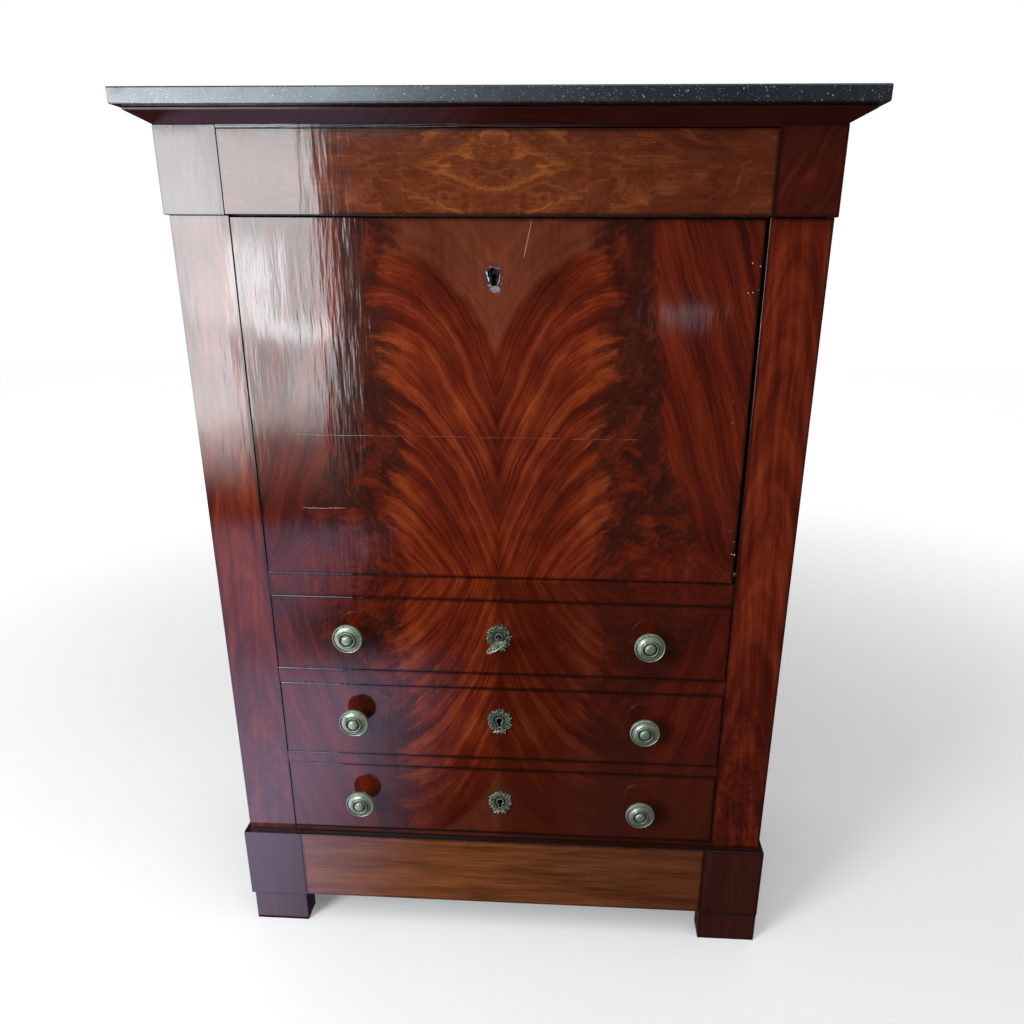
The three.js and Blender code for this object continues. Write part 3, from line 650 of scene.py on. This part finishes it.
dress("cornice_moulding", straight("cornice_wood", (0.026, 0.0050, 0.0034), (0.080, 0.0150, 0.0090), "x", 1.0,
                                   polish=SATIN))
dress("case_top_board", straight("top_wood", (0.012, 0.0020, 0.0014), (0.050, 0.0070, 0.0040), "x", 1.0,
                                 polish=POLISH))
dress("desk_board", straight("desk_wood", (0.08, 0.018, 0.008), (0.24, 0.060, 0.022), "x", 0.8,
                             polish=POLISH))
oak = straight("raw_oak", (0.20, 0.12, 0.06), (0.46, 0.31, 0.17), "x", 1.0, rough=0.7)
dress("back_panel", straight("raw_oak_upright", (0.16, 0.095, 0.05), (0.40, 0.27, 0.15), "z", 0.6, rough=0.75,
                             plank=BACK_PLANK))
maple = straight("waxed_maple", (0.26, 0.13, 0.05), (0.50, 0.30, 0.13), "x", 1.2, polish=WAX)
dress("frieze_rail", straight("rail_wood", (0.016, 0.0045, 0.0028), (0.060, 0.018, 0.010), "x", 1.0,
                              rough=0.6))
for node in ("pigeonhole_unit", "small_drawer_left", "small_drawer_right"):
    dress(node, maple)
dress("writing_leather", desk_leather())
dress("marble_top", stone())
for node in NODES:
    if node.endswith("_box"):
        dress(node, oak)
    elif "_knob" in node or "_quadrant_" in node or node.endswith("_escutcheon"):
        dress(node, BRASS)
    elif node.endswith(("_lock", "_bolt", "_key")):
        dress(node, STEEL)


# -------- pieces built here

def make_piece(name, mesh_data, body, node, material, depth=None):
    """Turns a bmesh into a piece that rides on a body and stands for a CAD node.

    depth tells how much painted shade a point gets, from 0 to 1: most in hollows and grooves."""
    mesh = bpy.data.meshes.new(name)
    bmesh.ops.recalc_face_normals(mesh_data, faces=mesh_data.faces)
    mesh_data.to_mesh(mesh)
    mesh_data.free()
    for face in mesh.polygons:
        face.use_smooth = True
    mesh.set_sharp_from_angle(angle=math.radians(38))
    mesh.materials.append(material)
    if depth:
        layer = mesh.attributes.new("crevice", "FLOAT", "POINT")
        for vertex, value in zip(mesh.vertices, layer.data):
            value.value = min(max(depth(vertex.co), 0.0), 1.0)
    piece = bpy.data.objects.new(name, mesh)
    bpy.context.scene.collection.objects.link(piece)
    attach(piece, body)
    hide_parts(node)


def lathe(bm, centre, profile, segments=72):
    """A closed turned form about the y axis at centre; profile is (radius, y) from axis to axis."""
    x, z = centre
    rings = []
    for radius, y in profile:
        if radius == 0:
            rings.append([bm.verts.new((x, y, z))])
            continue
        turns = [2 * math.pi * i / segments for i in range(segments)]
        rings.append([bm.verts.new((x + radius * math.cos(a), y, z + radius * math.sin(a))) for a in turns])
    for first, second in zip(rings, rings[1:]):
        for i in range(segments):
            j = (i + 1) % segments
            corners = [first[i % len(first)], first[j % len(first)]]
            corners += [second[j % len(second)], second[i % len(second)]]
            bm.faces.new(list(dict.fromkeys(corners)))


def rounded(profile, steps=6):
    """The profile through a smooth curve, so that its beads are round."""
    points = []
    ends = [profile[0]] + list(profile) + [profile[-1]]
    for a, b, c, d in zip(ends, ends[1:], ends[2:], ends[3:]):
        for i in range(steps):
            t = i / steps
            points.append(tuple(
                0.5 * (2 * b[k] + (c[k] - a[k]) * t + (2 * a[k] - 5 * b[k] + 4 * c[k] - d[k]) * t * t
                       + (3 * b[k] - a[k] - 3 * c[k] + d[k]) * t ** 3) for k in (0, 1)))
    points.append(profile[-1])
    return [(max(r, 0.0), y) for r, y in points]


# Radius and distance in front of the drawer, in metres, from the root to the tip.
KNOB_PROFILE = (
    (0.0072, 0.0002), (0.0072, 0.0012), (0.0064, 0.0026), (0.0058, 0.0050), (0.0056, 0.0090),  # neck
    (0.0058, 0.0140), (0.0076, 0.0182), (0.0140, 0.0206), (0.0215, 0.0222),  # back of the head
    (0.0247, 0.0240), (0.0254, 0.0262), (0.0251, 0.0288), (0.0240, 0.0302), (0.0229, 0.0298),  # rim
    (0.0221, 0.0286), (0.0205, 0.0288), (0.0178, 0.0298), (0.0152, 0.0316),  # hollow ring
    (0.0138, 0.0334), (0.0128, 0.0342), (0.0118, 0.0336), (0.0110, 0.0312), (0.0102, 0.0302),  # bead
    (0.0096, 0.0314), (0.0088, 0.0344), (0.0068, 0.0366), (0.0038, 0.0375), (0.0012, 0.0377),  # boss
)
KNOB_TIP = KNOB_PROFILE[-1][1]
KNOB_HEAD = 0.0245  # how far in front of the drawer the rim's back stands
# the knobs' grooves below get painted shade
KNOB_GROOVES = ((0.0221, 0.0013), (0.0143, 0.0011), (0.0106, 0.0019))  # radius and half width, both dark


def build_knob(drawer, side):
    """A turned knob with a beaded rim, a hollow ring and a round boss in the middle."""
    node = f"drawer_{drawer}_knob_{side}"
    centre = middle(node)
    bm = bmesh.new()
    outline = rounded([(radius, FACE - out) for radius, out in KNOB_PROFILE])
    profile = [(0.0, FACE - KNOB_PROFILE[0][1])] + outline + [(0.0, FACE - KNOB_TIP)]
    lathe(bm, (centre.x, centre.z), profile)

    def depth(point):
        # painted shade: behind the head, and in the grooves
        if FACE - point.y < KNOB_HEAD:
            return 0.6
        radius = math.hypot(point.x - centre.x, point.z - centre.z)
        return max(1.0 - abs(radius - groove) / half for groove, half in KNOB_GROOVES)

    make_piece(f"knob_{drawer}_{side}", bm, "drawer_" + drawer, node, BRASS, depth)


LEAF_OUTLINE = (  # share of the leaf's length, and of half its width
    (0.0, 0.0), (0.22, 0.75), (0.5, 1.0), (0.78, 0.6), (1.0, 0.0), (0.78, -0.6), (0.5, -1.0), (0.22, -0.75),
)
LEAF_CROWN = ((0.3, 0.8), (0.6, 1.0))  # share of its length, and of its lift


def leaf(bm, centre, angle, length, width, base, lift):
    """A small domed leaf that points away from centre at angle, closed at its back."""
    x, z = centre
    along = (math.cos(angle), math.sin(angle))
    rim = []
    for t, w in LEAF_OUTLINE:
        a, b = t * length, w * width / 2
        rim.append((x + along[0] * a - along[1] * b, z + along[1] * a + along[0] * b, t))
    outline = [bm.verts.new((px, base - lift * 0.35 * t, pz)) for px, pz, t in rim]
    crown = [bm.verts.new((x + along[0] * length * t, base - lift * h, z + along[1] * length * t))
             for t, h in LEAF_CROWN]
    floor = [bm.verts.new((px, base + 0.0004, pz)) for px, pz, _ in rim]
    near, far = crown
    for i, tip in ((0, near), (1, near), (2, far), (3, far), (4, far), (5, far), (6, near), (7, near)):
        bm.faces.new((outline[i], outline[(i + 1) % 8], tip))
    bm.faces.new((outline[2], far, near))
    bm.faces.new((outline[6], near, far))
    for i in range(8):
        bm.faces.new((outline[i], floor[i], floor[(i + 1) % 8], outline[(i + 1) % 8]))
    bm.faces.new(floor)


def tube(bm, path, radius, sides=10):
    """A round bar through the points of path, closed at both ends; radius is one number or one a point."""
    radii = radius if isinstance(radius, list) else [radius] * len(path)
    rings = []
    side = None
    for i, (point, r) in enumerate(zip(path, radii)):
        ahead = (path[min(i + 1, len(path) - 1)] - path[max(i - 1, 0)]).normalized()
        side = (side if side else ahead.orthogonal())
        side = (side - ahead * side.dot(ahead)).normalized()
        other = ahead.cross(side)
        turns = [2 * math.pi * k / sides for k in range(sides)]
        rings.append([bm.verts.new(point + (side * math.cos(a) + other * math.sin(a)) * r) for a in turns])
    for first, second in zip(rings, rings[1:]):
        for k in range(sides):
            bm.faces.new((first[k], first[(k + 1) % sides], second[(k + 1) % sides], second[k]))
    bm.faces.new(rings[0])
    bm.faces.new(rings[-1])


LEAF_ROWS = (  # leaves in the row, its radius, their length, width, height and turn from outward
    (26, 0.0166, 0.0068, 0.0038, 0.0034, 0.7),
    (24, 0.0142, 0.0062, 0.0036, 0.0052, -0.8),
    (20, 0.0118, 0.0054, 0.0034, 0.0056, 0.9),
    (16, 0.0100, 0.0044, 0.0030, 0.0048, -0.7),
)
SLOT_ROW = LEAF_ROWS[-1][1]  # radius of the row that stays open at the keyhole's slot
WREATH_TALL = 1.06  # height over width
WREATH_HEIGHT = 0.0056
WREATH_RIM = 0.0178
BERRIES = 18
RIBBON_LOOP = (  # each point's distance from the middle, drop below it and bar radius
    (0.0004, 0.0180, 0.0014), (0.0046, 0.0196, 0.0018), (0.0084, 0.0206, 0.0016), (0.0104, 0.0222, 0.0012),
    (0.0090, 0.0238, 0.0007),
)
RIBBON_TAIL = (
    (0.0006, 0.0188, 0.0012), (0.0022, 0.0212, 0.0013), (0.0032, 0.0236, 0.0010), (0.0050, 0.0250, 0.0006),
)
HOLE = {"radius": 0.0060, "slot": 0.0031, "drop": 0.0130}  # slot: half its width, drop: how far down it goes


def hole_reach(angle):
    """Distance from the keyhole's middle to its outline at an angle."""
    reach = HOLE["radius"]
    if math.sin(angle) < 0:
        slot = min(HOLE["slot"] / max(abs(math.cos(angle)), 1e-6), HOLE["drop"] / -math.sin(angle))
        reach = max(reach, slot)
    return reach


def build_escutcheon(drawer):
    """A little cast wreath of leaves round the keyhole, tied with a ribbon at the bottom."""
    chance = random.Random("escutcheon" + drawer)
    node = f"drawer_{drawer}_escutcheon"
    centre = middle(node)
    x, z = centre.x, centre.z
    bm = bmesh.new()
    plate = FACE - 0.0006
    for count, radius, length, width, lift, spin in LEAF_ROWS:
        for i in range(count):
            a = 2 * math.pi * (i + chance.uniform(-0.25, 0.25)) / count
            if radius == SLOT_ROW and abs(a - 1.5 * math.pi) < 0.6:
                continue
            start = (x + radius * math.cos(a), z + radius * WREATH_TALL * math.sin(a))
            out = a + spin * chance.uniform(0.4, 1.6)
            grown = chance.uniform(0.8, 1.25)
            leaf(bm, start, out, length * grown, width, plate, lift * chance.uniform(0.7, 1.15))
    for i in range(BERRIES):
        a = 2 * math.pi * (i + chance.uniform(0.2, 0.8)) / BERRIES
        reach = 0.0160 + 0.0026 * (i % 2)
        berry = Vector((x + reach * math.cos(a), plate - 0.0040, z + reach * WREATH_TALL * math.sin(a)))
        bmesh.ops.create_icosphere(bm, subdivisions=2, radius=0.0013, matrix=Matrix.Translation(berry))
    for sway in (-1, 1):
        for ribbon, height in ((RIBBON_LOOP, 0.0034), (RIBBON_TAIL, 0.0028)):
            path = [Vector((x + sway * off, plate - height, z - drop)) for off, drop, _ in ribbon]
            tube(bm, path, [thick for _, _, thick in ribbon], 8)
    turns = [2 * math.pi * i / 64 for i in range(64)]
    rim = []
    for a in turns:
        reach = hole_reach(a)
        rim.append(Vector((x + reach * math.cos(a), plate - 0.0012, z + reach * math.sin(a))))
    tube(bm, rim + rim[:1], 0.0008, 6)
    plate_ring(bm, (x, z), turns, plate)
    # painted shade, deeper towards the plate between the leaves
    make_piece("wreath_" + drawer, bm, "drawer_" + drawer, node, BRASS,
               lambda point: 0.85 - (plate - point.y) / WREATH_HEIGHT * 2.2)


def plate_ring(bm, centre, turns, y):
    """The thin flat plate behind the wreath, open at the keyhole."""
    x, z = centre
    rows = []
    for inner, depth in ((True, y), (False, y), (False, y + 0.0004), (True, y + 0.0004)):
        row = []
        for a in turns:
            across, tall = (hole_reach(a), 1.0) if inner else (WREATH_RIM, WREATH_TALL)
            row.append(bm.verts.new((x + across * math.cos(a), depth, z + across * tall * math.sin(a))))
        rows.append(row)
    for i in range(len(turns)):
        j = (i + 1) % len(turns)
        for first, second in zip(rows, rows[1:] + rows[:1]):
            bm.faces.new((first[i], first[j], second[j], second[i]))


KEY_TILT = math.radians(30)  # of the bow, from level
KEY_SHAFT = (  # distance in front of the drawer and radius, with two collars
    (-0.010, 0.0028), (0.006, 0.0028), (0.010, 0.0030), (0.013, 0.0032), (0.0142, 0.0048), (0.0156, 0.0048),
    (0.0170, 0.0036), (0.0186, 0.0052), (0.0200, 0.0052), (0.0216, 0.0038), (0.026, 0.0034),
)
KEY_BOW_ROOT = 0.0245  # where the bow leaves the shaft
KEY_BOW_HALF = 0.0166  # half its width


def build_key():
    """A key with an openwork cast bow, whose flat side stands across the keyhole."""
    low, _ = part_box("drawer_upper_key")
    x, z = frame_pivot("key_turn")
    wide = Vector((math.cos(KEY_TILT), 0.0, math.sin(KEY_TILT)))
    out = Vector((0.0, -1.0, 0.0))
    root = Vector((x, FACE, z))
    top = FACE - low.y - 0.0020  # how far the bow's bar stands out

    def at(across, away):
        return root + wide * across + out * away

    bm = bmesh.new()
    tube(bm, [at(0.0, away) for away, _ in KEY_SHAFT], [radius for _, radius in KEY_SHAFT], 20)
    middle_out, half_out = (top + KEY_BOW_ROOT) / 2, (top - KEY_BOW_ROOT) / 2
    loop = []
    for i in range(57):
        a = 2 * math.pi * i / 56
        across = KEY_BOW_HALF * math.sin(a) * (1 + 0.14 * math.cos(3 * a))
        loop.append(at(across, middle_out - half_out * math.cos(a)))
    tube(bm, loop, 0.0015, 8)
    for sway in (-1, 1):
        scroll = []
        for i in range(30):
            a = i / 29 * math.pi * 2.5
            r = 0.0068 * (1 - 0.66 * i / 29)
            scroll.append(at(sway * (0.0082 - r * math.cos(a)), middle_out - r * math.sin(a)))
        tube(bm, scroll, 0.0010, 8)
        for share in (-0.55, 0.0, 0.55):
            reach = 0.0168 - 0.0035 * abs(share)
            bud = [at(sway * (reach + d), middle_out + half_out * share) for d in (-0.0012, 0.0006, 0.0020)]
            tube(bm, bud, [0.0020, 0.0027, 0.0012], 8)
    stem = [at(0.0, d) for d in (0.024, 0.030, middle_out, 0.044, top)]
    tube(bm, stem, [0.0032, 0.0014, 0.0022, 0.0013, 0.0018], 10)
    # painted shade on the shaft near the drawer
    make_piece("key", bm, "key", "drawer_upper_key", BRASS,
               lambda point: 0.75 if FACE - point.y < 0.022 else 0.15)


def frame_pivot(joint_name):
    """x and z of a joint's axis."""
    joint = next(j for j in frame["joints"] if j["name"] == joint_name)
    return joint["pos_m"][0], joint["pos_m"][2]


for drawer in DRAWER_NAMES:
    for side in ("left", "right"):
        build_knob(drawer, side)
    build_escutcheon(drawer)
build_key()


# -------- camera, light and floor

# Place in metres, angles in degrees, lens in millimetres.
CAMERA_AT = (0.1185, -1.3816, 1.2122)
CAMERA_YAW = -2.953
CAMERA_PITCH = -19.221
CAMERA_ROLL = 0.368
LENS = 28.18
CAMERA_SHIFT = (-0.0205, 0.0234)


def place_camera():
    """The camera, at the height, distance and tilt from which the photograph sees the desk."""
    yaw, pitch, roll = (math.radians(a) for a in (CAMERA_YAW, CAMERA_PITCH, CAMERA_ROLL))
    forward = Vector((math.sin(yaw) * math.cos(pitch), math.cos(yaw) * math.cos(pitch), math.sin(pitch)))
    right = Vector((math.cos(yaw), -math.sin(yaw), 0.0))
    up = right.cross(forward)
    across = right * math.cos(roll) + up * math.sin(roll)
    over = up * math.cos(roll) - right * math.sin(roll)
    data = bpy.data.cameras.new("camera")
    data.lens = LENS
    data.sensor_width = 36.0
    data.shift_x, data.shift_y = CAMERA_SHIFT
    data.clip_start = 0.02
    camera = bpy.data.objects.new("camera", data)
    turn = Matrix((across, over, -forward)).transposed().to_4x4()
    camera.matrix_world = Matrix.Translation(CAMERA_AT) @ turn
    bpy.context.scene.collection.objects.link(camera)
    bpy.context.scene.camera = camera


def add_light(name, place, target, size, power, colour=(1.0, 1.0, 1.0)):
    """A rectangular lamp at place, turned to target."""
    data = bpy.data.lights.new(name, "AREA")
    data.shape = "RECTANGLE"
    data.size, data.size_y = size
    data.energy = power
    data.color = colour
    lamp = bpy.data.objects.new(name, data)
    lamp.location = place
    lamp.rotation_mode = "QUATERNION"
    lamp.rotation_quaternion = (Vector(target) - Vector(place)).to_track_quat("-Z", "Y")
    lamp.visible_camera = False
    bpy.context.scene.collection.objects.link(lamp)


def glow_card(name, place, size, turn, glow):
    """A bright sheet that only reflections see, such as a window; glow gives its light at each place."""
    mesh = bpy.data.meshes.new(name)
    x, y = size[0] / 2, size[1] / 2
    mesh.from_pydata([(-x, -y, 0), (x, -y, 0), (x, y, 0), (-x, y, 0)], [], [(0, 1, 2, 3)])
    card = bpy.data.objects.new(name, mesh)
    card.location = place
    card.rotation_euler = [math.radians(angle) for angle in turn]
    s = Shader(name + "_light")
    across, along, _ = s.place()
    emission = s.tree.nodes.new("ShaderNodeEmission")
    output = s.tree.nodes.new("ShaderNodeOutputMaterial")
    s.tree.links.new(emission.outputs[0], output.inputs[0])
    colour, strength = glow(s, across / size[0] + 0.5, along / size[1] + 0.5)
    s.put(emission.inputs["Color"], colour)
    s.put(emission.inputs["Strength"], strength)
    mesh.materials.append(s.material)
    bpy.context.scene.collection.objects.link(card)
    card.visible_camera = False
    card.visible_diffuse = False
    card.visible_shadow = False
    card.visible_transmission = False


def fade(s, value, start, end, soft):
    """1 between start and end, falling to 0 over soft outside them."""
    return s.step(value, start - soft, start) * s.step(value, end + soft, end)


def window_glow(s, u, v):
    """A tall window: a bright strip, a transom under it, a dim lower pane, and a broad pane at the left."""
    ragged = s.noise(u * 6.0, v * 9.0, 2.0, detail=4.0, rough=0.6)
    u = u + ragged * 0.014
    pane = fade(s, u, 0.05, 0.89, 0.05) * s.step(v, 0.16, 0.23) * s.step(v, 0.87, 0.86)
    glass = pane * (s.step(v, 0.40, 0.46) * 5.6 + s.step(v, 0.64, 0.70) * 2.5 + 6.6)
    left = s.step(u, 0.50, 0.42) * s.step(u, 0.0, 0.08) * s.step(v, 0.02, 0.20) * s.step(v, 0.87, 0.86)
    strip = fade(s, u, 0.51, 0.67, 0.03) * fade(s, v, 0.45, 0.62, 0.03) * 14.0
    transom = fade(s, u, 0.60, 0.90, 0.03) * fade(s, v, 0.418, 0.440, 0.014) * 15.0
    low_pane = fade(s, u, 0.72, 0.93, 0.03) * fade(s, v, 0.26, 0.41, 0.02) * 3.8
    tail = fade(s, u, 0.05, 0.90, 0.08) * s.step(v, -0.05, 0.2) * s.step(v, 0.4, 0.2) * 1.5
    slit = s.step(abs(u - 0.705), 0.013, 0.005) * fade(s, v, 0.54, 0.66, 0.02) * 0.65
    shade = s.noise(u * 4.0, v * 3.0, 7.0, detail=4.0, rough=0.6) * 0.26 + 1.0
    light = (glass + left * (s.step(v, 0.45, 0.38) * 5.0 + 3.0) + strip + transom + low_pane + tail) * shade
    return (0.92, 0.98, 1.0), light * (1.0 - slit)


def wall_glow(s, u, v):
    """A pale wall over the window, that the stone slab mirrors."""
    light = s.step(u, 0.68, 0.26) * 8.0 + s.step(u, 1.0, 0.55) * 1.3
    return (0.74, 0.91, 1.0), light * s.step(v, 0.0, 0.06)


def far_glow(s, u, v):
    """A small dim window further off."""
    pane = fade(s, u, 0.12, 0.62, 0.12) * s.step(v, 0.05, 0.66) * s.step(v, 0.74, 0.71) * 2.3
    ledge = fade(s, u, 0.05, 0.92, 0.06) * fade(s, v, 0.69, 0.73, 0.02) * 2.6
    return (0.75, 0.85, 1.0), pane + ledge


def floor_glow(s, u, v):
    """Bluish daylight on the floor before the desk's left part, and fainter further out to the left."""
    near = (s.step(v, 0.50, 0.68) * 1.05 + s.step(v, 0.68, 0.85) * 0.25) * s.step(u, 0.905, 0.70)
    far = s.step(v, 0.0, 0.10) * s.step(v, 0.68, 0.50) * s.step(u, 0.70, 0.53) * 0.6
    return (0.68, 0.64, 1.0), (near + far) * s.step(u, 0.0, 0.07) * 3.1


def place_floor():
    """A plain pale floor, which the varnish doesn't mirror: the glow cards stand for the room there. It glows
    as painted light, faintly near the desk and more further off, so it fades to white.
    """
    bpy.ops.mesh.primitive_grid_add(x_subdivisions=4, y_subdivisions=4, size=16.0)
    floor = bpy.context.object
    floor.name = "floor"
    s = Shader("floor_paint")
    x, y, _ = s.place()
    tint = s.noise(x * 2.0, y * 2.0, 1.0, detail=4.0)
    paint = s.ramp(tint * 0.2 + 0.5, (0.0, (0.82, 0.82, 0.82)), (1.0, (0.88, 0.88, 0.88)))
    # painted light: the floor glows, faintly near the desk and more further off
    far = s.step(s.math("SQRT", x * x + y * y), 0.9, 3.5)
    floor.data.materials.append(s.finish(paint, 0.85, Specular_IOR_Level=0.1, Emission_Color=(1.0, 1.0, 1.0),
                                         Emission_Strength=far * 0.45 + 0.12))
    floor.visible_glossy = False
    floor.visible_diffuse = False


def set_world():
    """White to the camera, soft grey from above for the object, and a dim room in reflections."""
    world = bpy.data.worlds.new("studio")
    bpy.context.scene.world = world
    world.use_nodes = True
    tree = world.node_tree
    tree.nodes.clear()
    path = tree.nodes.new("ShaderNodeLightPath")
    direction = tree.nodes.new("ShaderNodeTexCoord")
    split = tree.nodes.new("ShaderNodeSeparateXYZ")
    tree.links.new(direction.outputs["Generated"], split.inputs[0])
    rise = tree.nodes.new("ShaderNodeMapRange")
    rise.interpolation_type = "SMOOTHSTEP"
    for name, value in (("From Min", -0.25), ("From Max", 0.25), ("To Min", 0.10), ("To Max", 0.50)):
        rise.inputs[name].default_value = value
    tree.links.new(split.outputs["Z"], rise.inputs["Value"])
    output = tree.nodes.new("ShaderNodeOutputWorld")
    soft, room, white = (tree.nodes.new("ShaderNodeBackground") for _ in range(3))
    tree.links.new(rise.outputs["Result"], soft.inputs["Strength"])
    room.inputs["Color"].default_value = (0.55, 0.62, 0.78, 1.0)
    room.inputs["Strength"].default_value = 0.06
    for background in (soft, white):
        background.inputs["Color"].default_value = (1.0, 1.0, 1.0, 1.0)
    shown = soft
    for ray, background in (("Is Glossy Ray", room), ("Is Camera Ray", white)):
        mix = tree.nodes.new("ShaderNodeMixShader")
        tree.links.new(path.outputs[ray], mix.inputs[0])
        tree.links.new(shown.outputs[0], mix.inputs[1])
        tree.links.new(background.outputs[0], mix.inputs[2])
        shown = mix
    tree.links.new(shown.outputs[0], output.inputs[0])


place_camera()
add_light("window_fill", (-2.0, -2.2, 1.5), (0.0, -0.2, 0.8), (1.0, 1.4), 75.0, (0.95, 0.98, 1.0))
add_light("ceiling", (0.0, -1.2, 3.2), (0.0, 0.0, 0.6), (3.0, 2.2), 30.0)
glow_card("window", (-1.22, -2.2, 1.05), (0.84, 1.70), (90.0, 0.0, 0.0), window_glow)
glow_card("pale_wall", (-0.55, -2.2, 1.87), (1.90, 0.40), (90.0, 0.0, 0.0), wall_glow)
glow_card("far_window", (0.485, -1.67, 1.03), (0.20, 0.13), (90.0, 0.0, 0.0), far_glow)
glow_card("lit_floor", (-1.10, -1.395, 0.002), (2.40, 2.41), (0.0, 0.0, 0.0), floor_glow)
place_floor()
set_world()
bpy.context.scene.view_settings.view_transform = "Standard"
